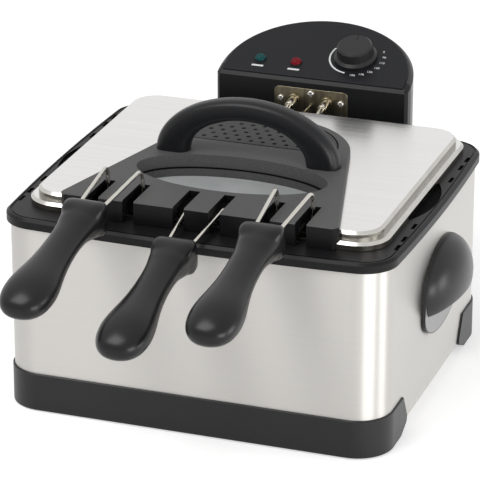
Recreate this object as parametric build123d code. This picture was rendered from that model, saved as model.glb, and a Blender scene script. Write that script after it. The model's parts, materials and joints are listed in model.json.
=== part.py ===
"""Deep fryer with three lift-out baskets, a lift-off lid and a lift-off control head.

Millimetres. +X is the right of the fryer, +Y its back, +Z up, and Z 0 is the worktop.
"""

import os
from math import cos, radians, sin, tan

from build123d import *

os.makedirs("parts", exist_ok=True)

# Housing: a wrapped sheet of brushed steel
body_w = 366.0
body_d = 328.0
body_r = 33.0
body_z0 = 10.0
sheet = 0.8
bottom_flange = 14.0
fit = 0.1
seat = 0.3

# Foot bands round the front and rear corners
band_skin = 1.8
band_h = 37.7
band_z0 = 1.0
band_shelf = 2.5
band_ring = 20.0
band_end_top = 101.0
band_end_low = 86.0
foot_r = 8.0
foot_x = 120.0
base_screw_x = 60.0

# Top rim: a bowed plastic frame
rim_w = 380.0
rim_d = 340.0
rim_bow_y = 7.0
rim_bow_x = 5.0
rim_r = 33.0
rim_z0 = 181.0
rim_top = 190.5
rim_wall = 2.6
rim_edge = 2.5
rim_groove = 6.0
rim_groove_w = 1.5
moon_r = 105.0
moon_in = 9.6
vent_in = 12.5

# Oil tank, hung by its flange in the rim
tank_cy = 9.0
tank_w = 293.0
tank_d = 245.0
tank_r = 40.0
tank_floor = 62.0
tank_taper = 3.0
tank_wall = 1.2
tank_flange = 11.0
tank_bottom_r = 14.0
shelf_drop = 6.0

# Lid: a stepped steel pressing
lid_w = 344.0
lid_d = 296.0
lid_r = 30.0
lid_step = 6.5
lid_top = 206.0
lid_waist = 198.3
lid_hem = 4.0
lid_bevel = 2.6

# Lid cover: the black top with the slots, the well and the filter
cover_t = 6.0
cover_front = 143.0
cover_half = 134.0
cover_nose_y = 24.0
cover_nose_r = 88.0
cover_skin = 2.5
slot_w = 10.6
slot_back = 99.0
slot_margin = 0.6

# Window well
well_a = 92.0
well_b = 44.0
well_y = -48.0
well_wall = 2.2
well_ledge = 198.5
well_step = 1.6
well_floor = 183.4
pane_t = 3.0
pane_lip = 5.0

# Arch handle
arch_a = 90.0
arch_rise = 57.0
arch_in_a = 58.0
arch_in_rise = 38.5
arch_y = -1.0
arch_t = 22.0
arch_bevel = 4.2

# Filter cover: a perforated half disc
filter_r = 74.0
filter_y = 32.0
filter_t = 2.8
filter_hole = 2.5
filter_pitch_x = 12.0
filter_pitch_y = 10.5
filter_gap = 0.8

# Baskets
basket_pitch = 81.5
basket_w = 76.0
basket_l = 208.0
basket_z0 = 100.0
basket_z1 = 178.0
basket_r = 9.0
basket_wall = 1.4
lip_out = 1.5
basket_cols = 4
basket_rows = 2
hook_x = 28.0
hook_r = 1.8
wire_r = 2.0
wire_half = 17.0
wire_grip_half = 11.0
wire_knee_z = 205.5
wire_grip_z = 195.5
wire_grip_y = -190.0
wire_in = 34.0
wire_bend = 9.0
grip_screw_s = 92.0
side_lift = 25.0
left_yaw = 1.7

# Grips: distance from the head, width, height above and below the axis, and squareness of each section
grip_y = -190.0
grip_slope = 13.4
grip_split = 4.0
grip_sections = [
    (0.0, 34.0, 8.5, 12.0, 4.0),
    (3.5, 37.5, 10.5, 17.0, 4.5),
    (21.0, 37.0, 11.5, 18.5, 4.0),
    (38.0, 32.5, 11.5, 11.5, 3.2),
    (62.0, 31.5, 11.5, 10.0, 2.8),
    (95.0, 36.5, 12.5, 11.5, 2.4),
    (127.0, 47.0, 15.0, 15.0, 2.2),
    (150.0, 41.0, 11.5, 12.5, 2.2),
    (162.0, 19.0, 3.5, 6.5, 2.2),
]
grip_sides = 10

# Control head behind the housing
head_y = 187.0
head_half = 99.0
head_spring = 198.0
head_arc = 82.0
head_z0 = 104.0
head_crease = 225.0
head_tilt = 20.0
head_wall = 2.5
head_part_y = 199.0
head_bevel = 3.2
panel_t = 1.5
panel_inset = 5.5
knob_x = 34.0
knob_run = 41.5
knob_skirt_r = 21.5
knob_r = 17.5
knob_h = 15.0
knob_gap = 0.5
shaft_r = 3.0
shaft_play = 0.05
lamp_r = 5.5
lamp_run = 23.5
lamp_green_x = -60.0
lamp_red_x = -22.5
inlet_w = 32.0
inlet_h = 22.0
inlet_z = 148.0

# Element plate, tube and probe
plate_half = 38.0
plate_z0 = 178.0
plate_z1 = 216.0
plate_t = 1.5
tube_x = 17.0
tube_r = 3.25
tube_z = 205.5
tube_low = 84.0
tube_drop_y = 124.0
tube_drop_z = 195.0
tube_bend = 13.0
element_half = 96.0
element_front = -72.0
element_rear = 74.0
probe_r = 1.3
bulb_r = 3.0

# Rails that hold the head on the rear wall
rail_x = 62.0
rail_w = 24.0
rail_d = 18.0
rail_z0 = 98.0
rail_z1 = 168.0
rail_floor = 6.0
tongue_w = 12.0
tongue_stem = 6.0
tongue_t = 5.0
tongue_play = 0.4
rail_clear = 1.0

# Side handles: a domed hood over an oval plate
grasp_y = 19.0
grasp_z = 108.8
grasp_half = 58.4
grasp_rise = 39.0
grasp_out = 28.5
grasp_wall = 3.0
grasp_lip = 90.0
grasp_lip_slope = 27.0
grasp_foot_z = 88.0
grasp_foot_drop = 28.0
grasp_sides = 9

screw_r = 1.5
screw_head_r = 3.2
screw_head_t = 2.2
screw_play = 0.1


nodes = {}


def save(shape, node):
    nodes[node] = shape


def slab(w, d, r, z0, z1, cy=0.0):
    return Pos(0, cy, z0) * extrude(RectangleRounded(w, d, r), amount=z1 - z0)


def cut_corner(w, d, c, z0, z1, cy=0.0):
    """Rectangular block with its upright corners cut off straight."""
    plan = chamfer(Rectangle(w, d).vertices(), c)
    return Pos(0, cy, z0) * extrude(plan, amount=z1 - z0)


def bowed(w, d, bow_y, bow_x, r):
    hx = w / 2 - bow_x
    hy = d / 2 - bow_y
    sides = [
        ThreePointArc((-hx, -hy), (0, -hy - bow_y), (hx, -hy)),
        ThreePointArc((hx, -hy), (hx + bow_x, 0), (hx, hy)),
        ThreePointArc((hx, hy), (0, hy + bow_y), (-hx, hy)),
        ThreePointArc((-hx, hy), (-hx - bow_x, 0), (-hx, -hy)),
    ]
    face = make_face(sides)
    return fillet(face.vertices(), r)


def ellipse_slab(a, b, cy, z0, z1):
    return Pos(0, cy, z0) * extrude(Ellipse(a, b), amount=z1 - z0)


def half_disc(r, cy, z0, z1):
    disc = Circle(r) & Pos(0, r) * Rectangle(2 * r, 2 * r)
    return Pos(0, cy, z0) * extrude(disc, amount=z1 - z0)


def box(x0, x1, y0, y1, z0, z1):
    return Pos((x0 + x1) / 2, (y0 + y1) / 2, (z0 + z1) / 2) * Box(x1 - x0, y1 - y0, z1 - z0)


def prism(start, end, r, sides=8):
    """Straight bar from start to end whose flats lie at the radius r."""
    line = Line(start, end)
    flats = RegularPolygon(r, sides, major_radius=False)
    return sweep(Plane(origin=start, z_dir=line % 0) * flats, path=line)


def wire(points, bend, r, sides=8):
    """Bent wire along the points, drawn with a few flats whose corners lie at the radius r."""
    path = FilletPolyline(*points, radius=bend)
    return sweep(Plane(origin=points[0], z_dir=path % 0) * RegularPolygon(r, sides), path=path)


def screw(origin, z_dir, length, sides=6):
    """Screw whose head sits on the origin's plane and whose shank runs against z_dir."""
    place = Plane(origin=origin, z_dir=z_dir).location
    shank = Pos(0, 0, -length) * extrude(RegularPolygon(screw_r, 6), amount=length + 0.5)
    head = extrude(RegularPolygon(screw_head_r, sides), amount=screw_head_t)
    return place * (shank + head)


def screw_hole(origin, z_dir, length, play=screw_play):
    place = Plane(origin=origin, z_dir=z_dir).location
    return place * Pos(0, 0, -length) * extrude(RegularPolygon(screw_r + play, 8, major_radius=False), amount=length)


# Housing, bottom plate, foot bands
rim_seat = rim_top - rim_wall
side_wall_x = body_w / 2
rear_wall_y = body_d / 2
base_screw_y = body_d / 2 - bottom_flange / 2
base_screws = [(sx * base_screw_x, sy * base_screw_y) for sx in (-1, 1) for sy in (-1, 1)]
base_screw_seat = body_z0 - band_shelf

housing = slab(body_w, body_d, body_r, body_z0, rim_seat - fit)
housing -= slab(body_w - 2 * sheet, body_d - 2 * sheet, body_r - sheet, body_z0 + sheet, rim_top)
housing -= cut_corner(
    body_w - 2 * bottom_flange, body_d - 2 * bottom_flange, body_r - bottom_flange, 0, body_z0 + 2 * sheet
)
for x, y in base_screws:
    housing -= screw_hole((x, y, base_screw_seat), (0, 0, -1), 12)

plate_gap = sheet + 3 * fit
bottom_plate = cut_corner(
    body_w - 2 * plate_gap,
    body_d - 2 * plate_gap,
    body_r,
    body_z0 + sheet,
    body_z0 + 2 * sheet,
)
for k in range(-3, 4):
    bottom_plate -= box(k * 26.0 - 3.5, k * 26.0 + 3.5, -45, 45, 0, 30)
for x, y in base_screws:
    bottom_plate -= screw_hole((x, y, base_screw_seat), (0, 0, -1), 12)

band_w = body_w + 2 * band_skin
band_d = body_d + 2 * band_skin
band_r = body_r + band_skin
ring = slab(band_w, band_d, band_r, band_z0, band_h)
ring = chamfer(ring.edges().group_by(Axis.Z)[-1], 0.9)
ring -= slab(body_w + 2 * fit, body_d + 2 * fit, body_r + fit, body_z0, band_h + 1)
ring -= slab(band_w - 5, band_d - 5, band_r - 2.5, 0, body_z0 - band_shelf)
ring -= cut_corner(band_w - 2 * band_ring, band_d - 2 * band_ring, band_r - band_ring, 0, body_z0 + 1)
side_cut = Polygon(
    (-rim_d, -5),
    (-band_end_low - 24, -5),
    (-band_end_low - 20, band_z0),
    (-band_end_low, body_z0),
    (-band_end_top, band_h),
    (-band_end_top - 2, band_h + 5),
    (-rim_d, band_h + 5),
    align=None,
)
side_cut = fillet(side_cut.vertices().sort_by_distance((-band_end_low, body_z0))[0], 6)
front_band = ring & extrude(Plane.YZ * side_cut, amount=rim_w, both=True)
for x, y in base_screws:
    if y < 0:
        front_band -= screw_hole((x, y, base_screw_seat), (0, 0, -1), 12)
rear_band = mirror(front_band, about=Plane.XZ)

feet = []
foot_y = band_d / 2 - (2.5 + band_ring) / 2
for sx in (-1, 1):
    for sy in (-1, 1):
        feet.append(prism((sx * foot_x, sy * foot_y, 0), (sx * foot_x, sy * foot_y, base_screw_seat), foot_r, 16))

save(housing, "outer_housing")
save(bottom_plate, "bottom_plate")
save(front_band, "front_foot_band")
save(rear_band, "rear_foot_band")
save(Compound(children=feet), "rubber_feet")
save(
    Compound(children=[screw((x, y, base_screw_seat), (0, 0, -1), body_z0 + 2 * sheet - base_screw_seat + 2)
                       for x, y in base_screws]),
    "base_screws",
)

# Top rim
shelf_z = rim_top - shelf_drop
pocket_w = tank_w + 2 * tank_flange + 2
pocket_d = tank_d + 2 * tank_flange + 2
rim = extrude(bowed(rim_w, rim_d, rim_bow_y, rim_bow_x, rim_r), amount=rim_top - rim_z0)
rim = Pos(0, 0, rim_z0) * chamfer(rim.edges().group_by(Axis.Z)[-1], rim_edge)
rim -= slab(body_w + 2 * fit, body_d + 2 * fit, body_r + fit, rim_z0 - 1, rim_seat)
rim += cut_corner(pocket_w + 6, pocket_d + 6, 0.5 * (tank_r + tank_flange), shelf_z - 3, rim_seat, tank_cy)
rim -= slab(pocket_w, pocket_d, tank_r + tank_flange, shelf_z, rim_top + 1, tank_cy)
rim -= slab(tank_w + 3, tank_d + 3, tank_r + 1, rim_z0 - 1, rim_top, tank_cy)
groove_in = rim_groove + rim_groove_w
groove = bowed(rim_w - 2 * rim_groove, rim_d - 2 * rim_groove, rim_bow_y, rim_bow_x, rim_r - rim_groove)
groove -= bowed(rim_w - 2 * groove_in, rim_d - 2 * groove_in, rim_bow_y, rim_bow_x, rim_r - groove_in)
rim -= Pos(0, 0, rim_top - 0.8) * extrude(groove, amount=2)
moon_x = rim_w / 2 - moon_in
vent_x = rim_w / 2 - vent_in
for sx in (-1, 1):
    moon = Pos(sx * (moon_x - moon_r), 0) * Circle(moon_r)
    moon &= Pos(sx * (moon_x + 2), 0) * Rectangle(22, 200)
    rim -= Pos(0, 0, rim_top - 1.6) * extrude(moon, amount=3)
    for vent_y in (68.0, 96.0, 120.0):
        for sy in (-1, 1):
            rim -= Pos(sx * vent_x, sy * vent_y, rim_top) * Box(3, 8, 2.8)
save(rim, "top_rim")

# Oil tank
tank_top = shelf_z + seat + tank_wall
tank_outer = loft(
    Sketch()
    + [
        Pos(0, tank_cy, tank_floor) * RectangleRounded(tank_w - 2 * tank_taper, tank_d - 2 * tank_taper, tank_r - tank_taper),
        Pos(0, tank_cy, tank_top) * RectangleRounded(tank_w, tank_d, tank_r),
    ]
)
tank_outer = chamfer(tank_outer.edges().group_by(Axis.Z)[0], tank_bottom_r)
inner_w = tank_w - 2 * tank_wall
inner_d = tank_d - 2 * tank_wall
tank_inner = loft(
    Sketch()
    + [
        Pos(0, tank_cy, tank_floor + tank_wall)
        * RectangleRounded(inner_w - 2 * tank_taper, inner_d - 2 * tank_taper, tank_r - tank_wall - tank_taper),
        Pos(0, tank_cy, tank_top + 0.01) * RectangleRounded(inner_w, inner_d, tank_r - tank_wall),
    ]
)
tank_inner = chamfer(tank_inner.edges().group_by(Axis.Z)[0], tank_bottom_r - 0.6 * tank_wall)
tank = tank_outer + slab(
    tank_w + 2 * tank_flange, tank_d + 2 * tank_flange, tank_r + tank_flange - 1, tank_top - tank_wall, tank_top, tank_cy
)
tank -= tank_inner
save(tank, "oil_tank")

# Side handles: an oval plate on the wall under a domed hood that is open below
grasp_screws = [(grasp_y - 16.0, grasp_z + 28.0), (grasp_y + 16.0, grasp_z + 28.0)]
wall_x = side_wall_x + fit


def hood_form(inset):
    """Half of an egg lying against the wall, lofted from level half-oval slices."""
    slices = []
    for turn in (-62, -40, -20, 0, 20, 40, 58, 72, 82):
        across = (grasp_half - inset) * cos(radians(turn))
        out = (grasp_out - inset) * cos(radians(turn))
        z = grasp_z + (grasp_rise - inset) * sin(radians(turn))
        bow = [radians(180 * k / grasp_sides - 90) for k in range(grasp_sides + 1)]
        outline = [(out * cos(a), across * sin(a)) for a in bow]
        slices.append(Pos(wall_x, grasp_y, z) * Polygon(*outline, align=None))
    return loft(Sketch() + slices)


plate_oval = Pos(grasp_y, grasp_z) * Ellipse(grasp_half, grasp_rise)
plate_oval &= Pos(grasp_y, grasp_z + grasp_rise / 2) * Rectangle(2 * grasp_half, grasp_rise)
foot_oval = Pos(grasp_y, grasp_foot_z) * Ellipse(grasp_half, grasp_foot_drop)
foot_oval &= Pos(grasp_y, grasp_foot_z - grasp_foot_drop / 2) * Rectangle(2 * grasp_half, grasp_foot_drop)
plate_oval += foot_oval
plate_oval += Pos(grasp_y, (grasp_z + grasp_foot_z) / 2) * Rectangle(2 * grasp_half, grasp_z - grasp_foot_z)
grasp = Pos(wall_x, 0, 0) * extrude(Plane.YZ * plate_oval, amount=grasp_wall)
hollow = hood_form(1.3 * grasp_wall)
for y, z in grasp_screws:
    hollow -= prism((wall_x, y, z), (wall_x + grasp_out, y, z), 3.6)
lip_reach = 2 * grasp_out
lip_profile = Polygon(
    (wall_x, grasp_lip),
    (wall_x + lip_reach, grasp_lip + lip_reach * tan(radians(grasp_lip_slope))),
    (wall_x + lip_reach, grasp_z + 2 * grasp_rise),
    (wall_x, grasp_z + 2 * grasp_rise),
    align=None,
)
keep_hood = Pos(0, grasp_y, 0) * extrude(Plane.XZ * lip_profile, amount=2 * grasp_half, both=True)
grasp += (hood_form(0) - hollow) & keep_hood
for y, z in grasp_screws:
    grasp -= screw_hole((side_wall_x - sheet, y, z), (-1, 0, 0), 12)
    housing_hole = screw_hole((side_wall_x - sheet, y, z), (-1, 0, 0), 4)
    housing -= housing_hole
    housing -= mirror(housing_hole, about=Plane.YZ)
save(grasp, "side_handle_right")
save(mirror(grasp, about=Plane.YZ), "side_handle_left")
right_screws = [screw((side_wall_x - sheet, y, z), (-1, 0, 0), 9) for y, z in grasp_screws]
save(Compound(children=right_screws + [mirror(s, about=Plane.YZ) for s in right_screws]), "handle_screws")

# Rails on the rear wall and the tongues they take
rail_y0 = rear_wall_y + fit
rail_y1 = rail_y0 + rail_d
tongue_y0 = rim_d / 2 + rail_clear
tongue_low = rail_z0 + rail_floor + seat
rail_screw_z = [rail_z0 + 26.0, rail_z1 - 12.0]


def t_slot(play, z0, z1, mouth):
    bar = box(-tongue_w / 2 - play, tongue_w / 2 + play, tongue_y0 - play, tongue_y0 + tongue_t + play, z0, z1)
    stem = box(-tongue_stem / 2 - play, tongue_stem / 2 + play, tongue_y0, mouth, z0, z1)
    return bar + stem


rails = []
rail_screws = []
for sx in (-1, 1):
    rail = box(-rail_w / 2, rail_w / 2, rail_y0, rail_y1, rail_z0, rail_z1)
    rail = chamfer(rail.edges().filter_by(Axis.Z).group_by(Axis.Y)[-1], 2.5)
    rail -= t_slot(tongue_play, rail_z0 + rail_floor, rail_z1 + 1, rail_y1 + 1)
    rail = Pos(sx * rail_x, 0, 0) * rail
    for z, dx in zip(rail_screw_z, (-9.0, 9.0)):
        at = (sx * rail_x + dx, rear_wall_y - sheet, z)
        rail -= screw_hole(at, (0, -1, 0), 12)
        housing -= screw_hole(at, (0, -1, 0), 4)
        rail_screws.append(screw(at, (0, -1, 0), 10))
    rails.append(rail)
save(Compound(children=rails), "head_rails")
save(Compound(children=rail_screws), "rail_screws")
save(housing, "outer_housing")

# Lid pressing
lid_low = rim_top + seat
lid_cy = tank_cy


def lid_form(inset, low, top, waist):
    upper = slab(
        lid_w - 2 * lid_step - 2 * inset, lid_d - 2 * lid_step - 2 * inset, lid_r - 4 - inset, low, top - inset, lid_cy
    )
    upper = chamfer(upper.edges().group_by(Axis.Z)[-1], lid_bevel - 0.6 * inset)
    lower = slab(lid_w - 2 * inset, lid_d - 2 * inset, lid_r - inset, low, waist - inset, lid_cy)
    lower = chamfer(lower.edges().group_by(Axis.Z)[-1], lid_bevel - 0.6 * inset)
    return upper + lower


front_y = -basket_l / 2
wire_y = front_y - lip_out - wire_r - 0.05
left_turn = (wire_y + cover_front) * tan(radians(left_yaw))
slot_xs = [k * basket_pitch + s * wire_half for k in (0, 1) for s in (-1, 1)]
slot_xs += [-basket_pitch - left_turn + s * wire_half for s in (-1, 1)]
lid = lid_form(0, lid_low, lid_top, lid_waist) - lid_form(sheet, lid_low - 1, lid_top, lid_waist)
hem = slab(lid_w, lid_d, lid_r, lid_low, lid_low + sheet, lid_cy)
hem -= slab(lid_w - 2 * lid_hem, lid_d - 2 * lid_hem, lid_r - lid_hem, lid_low - 1, lid_top, lid_cy)
lid += hem
lid_slot = slot_w / 2 + slot_margin
for x in slot_xs:
    lid -= box(x - lid_slot, x + lid_slot, -lid_d, -slot_back + slot_margin, lid_low - 5, lid_top + 5)
notch_half = tube_x + tube_r + 6
lid -= box(-notch_half, notch_half, lid_cy + lid_d / 2 - 18, lid_d, lid_low - 5, lid_top - 2.5)
lid -= ellipse_slab(well_a + well_wall + fit, well_b + well_wall + fit, well_y, lid_low, lid_top + 5)
lid -= half_disc(filter_r - 10, filter_y + 5, lid_low, lid_top + 5)

# Lid cover: tapered plate with a round nose, a front apron, slots, well and filter seat
cover_top = lid_top + cover_t


def cover_outline(inset):
    half = cover_half - inset
    front = -cover_front + inset
    nose = cover_nose_r - inset
    reach = 0.0
    slope = (cover_half - cover_nose_r) / (cover_front + cover_nose_y)
    turn = slope / (1 + slope * slope) ** 0.5
    side = 1 / (1 + slope * slope) ** 0.5
    tx = nose * side
    ty = cover_nose_y + nose * turn
    edges = [
        Line((-half, front), (half, front)),
        Line((half, front), (tx, ty)),
        ThreePointArc((tx, ty), (reach, cover_nose_y + nose), (-tx, ty)),
        Line((-tx, ty), (-half, front)),
    ]
    return make_face(edges)


plan = cover_outline(0)
plan = chamfer(plan.vertices().group_by(Axis.Y)[0], 6)
cover = Pos(0, 0, lid_top) * extrude(plan, amount=cover_t)
cover = chamfer(cover.edges().group_by(Axis.Z)[-1], 1.3)
apron_plan = plan & Pos(0, -cover_front) * Rectangle(2 * cover_half + 2, 60)
apron = Pos(0, 0, lid_low) * extrude(apron_plan, amount=lid_top - lid_low)
apron -= slab(
    lid_w - 2 * lid_step + 2 * fit, lid_d - 2 * lid_step + 2 * fit, lid_r - 4 + fit, lid_low - 1, lid_top + 1, lid_cy
)
apron -= slab(lid_w + 2 * fit, lid_d + 2 * fit, lid_r + fit, lid_low - 1, lid_waist + fit, lid_cy)
cover += apron
pocket_plan = cover_outline(cover_skin + 1.5)
pocket_plan &= Pos(0, 0) * Rectangle(400, 2 * slot_back - 10)
pocket_plan -= Pos(0, well_y) * Ellipse(well_a + 5, well_b + 5)
pocket_plan -= Pos(0, filter_y + filter_r / 2 - 3) * Rectangle(2 * filter_r + 12, filter_r + 18)
for sx in (-1, 1):
    pocket_plan -= Pos(sx * (arch_a + arch_in_a) / 2, arch_y) * Rectangle(arch_a - arch_in_a + 8, arch_t + 6)
cover -= Pos(0, 0, lid_top - 1) * extrude(pocket_plan, amount=cover_t - cover_skin + 1)
cover += ellipse_slab(well_a + well_wall, well_b + well_wall, well_y, well_floor, cover_top - 1)
pane_a = well_a - well_step
pane_b = well_b - well_step
cover -= ellipse_slab(well_a, well_b, well_y, well_ledge, cover_top + 1)
cover -= ellipse_slab(pane_a, pane_b, well_y, well_floor + pane_t, cover_top + 1)
cover -= ellipse_slab(pane_a - pane_lip, pane_b - pane_lip, well_y, well_floor - 1, cover_top + 1)
for x in slot_xs:
    cut = box(x - slot_w / 2, x + slot_w / 2, -cover_front - 5, -slot_back, lid_low - 5, cover_top + 5)
    cover -= cut
filter_low = cover_top - filter_t
cover -= half_disc(filter_r + filter_gap, filter_y - filter_gap, filter_low, cover_top + 5)
cover -= half_disc(filter_r - 4, filter_y + 2.5, lid_top - 1, cover_top + 5)
arch_feet = [(sx * (arch_a + arch_in_a) / 2, arch_y) for sx in (-1, 1)]
sheet_under = lid_top - sheet
for x, y in arch_feet:
    lid -= screw_hole((x, y, sheet_under), (0, 0, -1), 4)
    cover -= screw_hole((x, y, sheet_under), (0, 0, -1), 12)
save(lid, "lid_shell")
save(cover, "lid_cover")

# Window pane and its seal at the floor of the well
pane_play = 0.2
pane_z0 = well_floor + pane_t
seal_h = 1.6
seal = ellipse_slab(pane_a - pane_play, pane_b - pane_play, well_y, pane_z0, pane_z0 + seal_h)
seal -= ellipse_slab(pane_a - pane_lip, pane_b - pane_lip, well_y, pane_z0 - 1, pane_z0 + 5)
pane = ellipse_slab(pane_a - pane_play, pane_b - pane_play, well_y, pane_z0 + seal_h, pane_z0 + seal_h + pane_t)
save(seal, "window_seal")
save(pane, "window_pane")

# Arch handle
arch_face = (Ellipse(arch_a, arch_rise) - Ellipse(arch_in_a, arch_in_rise)) & Pos(0, arch_rise) * Rectangle(
    2 * arch_a + 2, 2 * arch_rise
)
arch = extrude(Plane.XZ * arch_face, amount=arch_t / 2, both=True)
arch = chamfer(arch.faces().sort_by(Axis.Y)[-1].edges().filter_by(GeomType.LINE, reverse=True), arch_bevel)
arch = chamfer(arch.faces().sort_by(Axis.Y)[0].edges().filter_by(GeomType.LINE, reverse=True), arch_bevel)
arch = Pos(0, arch_y, cover_top) * arch
lid_screws = []
for x, y in arch_feet:
    arch -= screw_hole((x, y, sheet_under), (0, 0, -1), cover_t + 14)
    lid_screws.append(screw((x, y, sheet_under), (0, 0, -1), cover_t + 12))
save(arch, "lid_handle")
save(Compound(children=lid_screws), "lid_screws")

# Filter cover and the pad under it
grille = half_disc(filter_r, filter_y, filter_low, cover_top)
holes = []
row = 0
y = filter_y + 8.0
while y < filter_y + filter_r - 7:
    reach = (filter_r**2 - (y - filter_y) ** 2) ** 0.5 - 8.0
    x0 = -filter_pitch_x / 2 * (row % 2)
    n = int(reach // filter_pitch_x)
    for k in range(-n, n + 1 + row % 2):
        x = k * filter_pitch_x + x0
        if abs(x) <= reach:
            holes.append(Pos(x, y) * RegularPolygon(filter_hole, 6))
    row += 1
    y += filter_pitch_y
grille -= Pos(0, 0, filter_low - 1) * extrude(Sketch() + holes, amount=filter_t + 2)
save(grille, "filter_cover")
save(half_disc(filter_r - 5, filter_y + 3.2, lid_top + 0.05, filter_low - 0.05), "filter_pad")

# Baskets
rear_y = basket_l / 2
cage = cut_corner(basket_w, basket_l, basket_r, basket_z0, basket_z1)
cage = chamfer(cage.edges().group_by(Axis.Z)[0], 4)
core_w = basket_w - 2 * basket_wall
core_l = basket_l - 2 * basket_wall
core = cut_corner(core_w, core_l, basket_r - 0.6 * basket_wall, basket_z0 + basket_wall, basket_z1 + 1)
core = chamfer(core.edges().group_by(Axis.Z)[0], 4 - 0.6 * basket_wall)
cage -= core
bar = 4.0
run = basket_l - 2 * basket_r - 2
rise = basket_z1 - basket_z0 - 18
span = basket_w - 2 * basket_r - 2
col = run / basket_cols
row_h = rise / basket_rows
side_windows = []
floor_windows = []
for i in range(basket_cols):
    u = -run / 2 + col * (i + 0.5)
    for j in range(basket_rows):
        v = basket_z0 + 10 + row_h * (j + 0.5)
        side_windows.append(Pos(u, v) * Rectangle(col - bar, row_h - bar))
    for j in (-1, 1):
        floor_windows.append(Pos(j * span / 4, u) * Rectangle(span / 2 - bar, col - bar))
end_windows = []
for j in range(basket_rows):
    v = basket_z0 + 10 + row_h * (j + 0.5)
    for i in (-1, 1):
        end_windows.append(Pos(i * span / 4, v) * Rectangle(span / 2 - bar, row_h - bar))
cage -= extrude(Plane.YZ * (Sketch() + side_windows), amount=basket_w, both=True)
cage -= extrude(Plane.XZ * (Sketch() + end_windows), amount=basket_l, both=True)
cage -= extrude(Sketch() + floor_windows, amount=basket_z0 + 20)
lip = cut_corner(basket_w + 2 * lip_out, basket_l + 2 * lip_out, basket_r + lip_out, basket_z1 - 3.5, basket_z1)
lip -= cut_corner(core_w, core_l, basket_r - 0.6 * basket_wall, basket_z0, basket_z1 + 1)
cage += lip
hook_z = tank_top + seat + hook_r
hook_out = 0.6 * hook_r
flange_mid = tank_d / 2 + tank_flange / 2 + 1
for x in (-hook_x, hook_x):
    for sy in (-1, 1):
        y0 = sy * (basket_l / 2 + hook_out)
        y1 = tank_cy + sy * flange_mid
        cage += prism((x, y0, basket_z1 - 8), (x, y0, hook_z + hook_r), hook_r, 6)
        cage += prism((x, y0 - sy * hook_r, hook_z), (x, y1, hook_z), hook_r, 6)

grip_len = grip_sections[-1][0]
slope = radians(grip_slope)
grip_drop = (wire_grip_y - grip_y) * tan(slope)


def grip_plane(s, z, yaw):
    """Plane across the grip at the distance s from its head, for wires that enter at z and turn out by yaw."""
    level = s * cos(slope)
    turn = radians(yaw)
    start = (
        (grip_y - wire_y) * tan(turn) - level * sin(turn),
        grip_y - level * cos(turn),
        z - grip_drop - s * sin(slope),
    )
    along = (-cos(slope) * sin(turn), -cos(slope) * cos(turn), -sin(slope))
    return Plane(origin=start, x_dir=(cos(turn), -sin(turn), 0), z_dir=along)


def handle_points(s, lift, yaw):
    reach = grip_y - wire_in - wire_y
    run_in = reach / (wire_grip_y - wire_y)
    return [
        (s * wire_half, wire_y, basket_z0 + 16),
        (s * wire_half, wire_y, wire_knee_z + lift),
        (
            s * (wire_half + (wire_grip_half - wire_half) * run_in) + reach * tan(radians(yaw)),
            grip_y - wire_in,
            wire_knee_z + (wire_grip_z - wire_knee_z) * run_in + lift,
        ),
    ]


def squared(value, power):
    """Value between -1 and 1 drawn towards the ends, so that a round section gets flatter sides."""
    size = abs(value) ** (2 / power)
    return size if value > 0 else -size


def grip_outline(s, w, above, below, power, z, yaw):
    """Section of the grip at the distance s from its head."""
    turn = [radians(360 * k / grip_sides) for k in range(grip_sides)]
    high = (above + below) / 2
    ring = [(w / 2 * squared(cos(a), power), high * squared(sin(a), power) + (above - below) / 2) for a in turn]
    return grip_plane(s, z, yaw) * Polygon(*ring, align=None)


for name, k in (("left", -1), ("centre", 0), ("right", 1)):
    lift = side_lift * abs(k)
    place = Pos(k * basket_pitch, 0, 0)
    yaw = left_yaw if name == "left" else 0.0
    wires = [wire(handle_points(s, lift, yaw), wire_bend, wire_r) for s in (-1, 1)]
    level = wire_grip_z + lift
    grip = loft(Sketch() + [grip_outline(*section, level, yaw) for section in grip_sections])
    for s in (-1, 1):
        grip -= wire(handle_points(s, lift, yaw), wire_bend, wire_r + fit)
    head_plane = grip_plane(0, level, yaw)
    up = head_plane.y_dir
    along = head_plane.z_dir
    across = Plane(origin=head_plane.origin - up * grip_split, x_dir=head_plane.x_dir, z_dir=up)
    upper = split(grip, bisect_by=across, keep=Keep.TOP)
    lower = split(grip, bisect_by=across, keep=Keep.BOTTOM)
    under = across.origin + along * grip_screw_s - up * 3.5
    lower -= screw_hole(under, -up, 30)
    well = Plane(origin=under, z_dir=-up).location
    lower -= well * extrude(RegularPolygon(screw_head_r + 0.4, 8, major_radius=False), amount=30)
    upper -= screw_hole(under, -up, 12)
    save(place * cage, f"basket_{name}")
    save(place * Compound(children=wires), f"basket_{name}_wires")
    save(place * upper, f"grip_{name}_upper")
    save(place * lower, f"grip_{name}_lower")
    save(place * screw(under, -up, 11), f"grip_{name}_screw")

# Control head: a D-shaped case with a sloping top, parted behind its front face
tilt = radians(head_tilt)
panel_normal = Vector(0, -sin(tilt), cos(tilt))
panel_up = Vector(0, cos(tilt), sin(tilt))
crease = Vector(0, head_y, head_crease)
head_back = head_spring + head_arc


def d_plan(inset, front):
    arc = Pos(0, head_spring) * Ellipse(head_half - inset, head_arc - inset)
    arc &= Pos(0, head_spring + head_arc) * Rectangle(4 * head_half, 2 * head_arc)
    return arc + Pos(0, (front + head_spring) / 2) * Rectangle(2 * (head_half - inset), head_spring - front)


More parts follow.
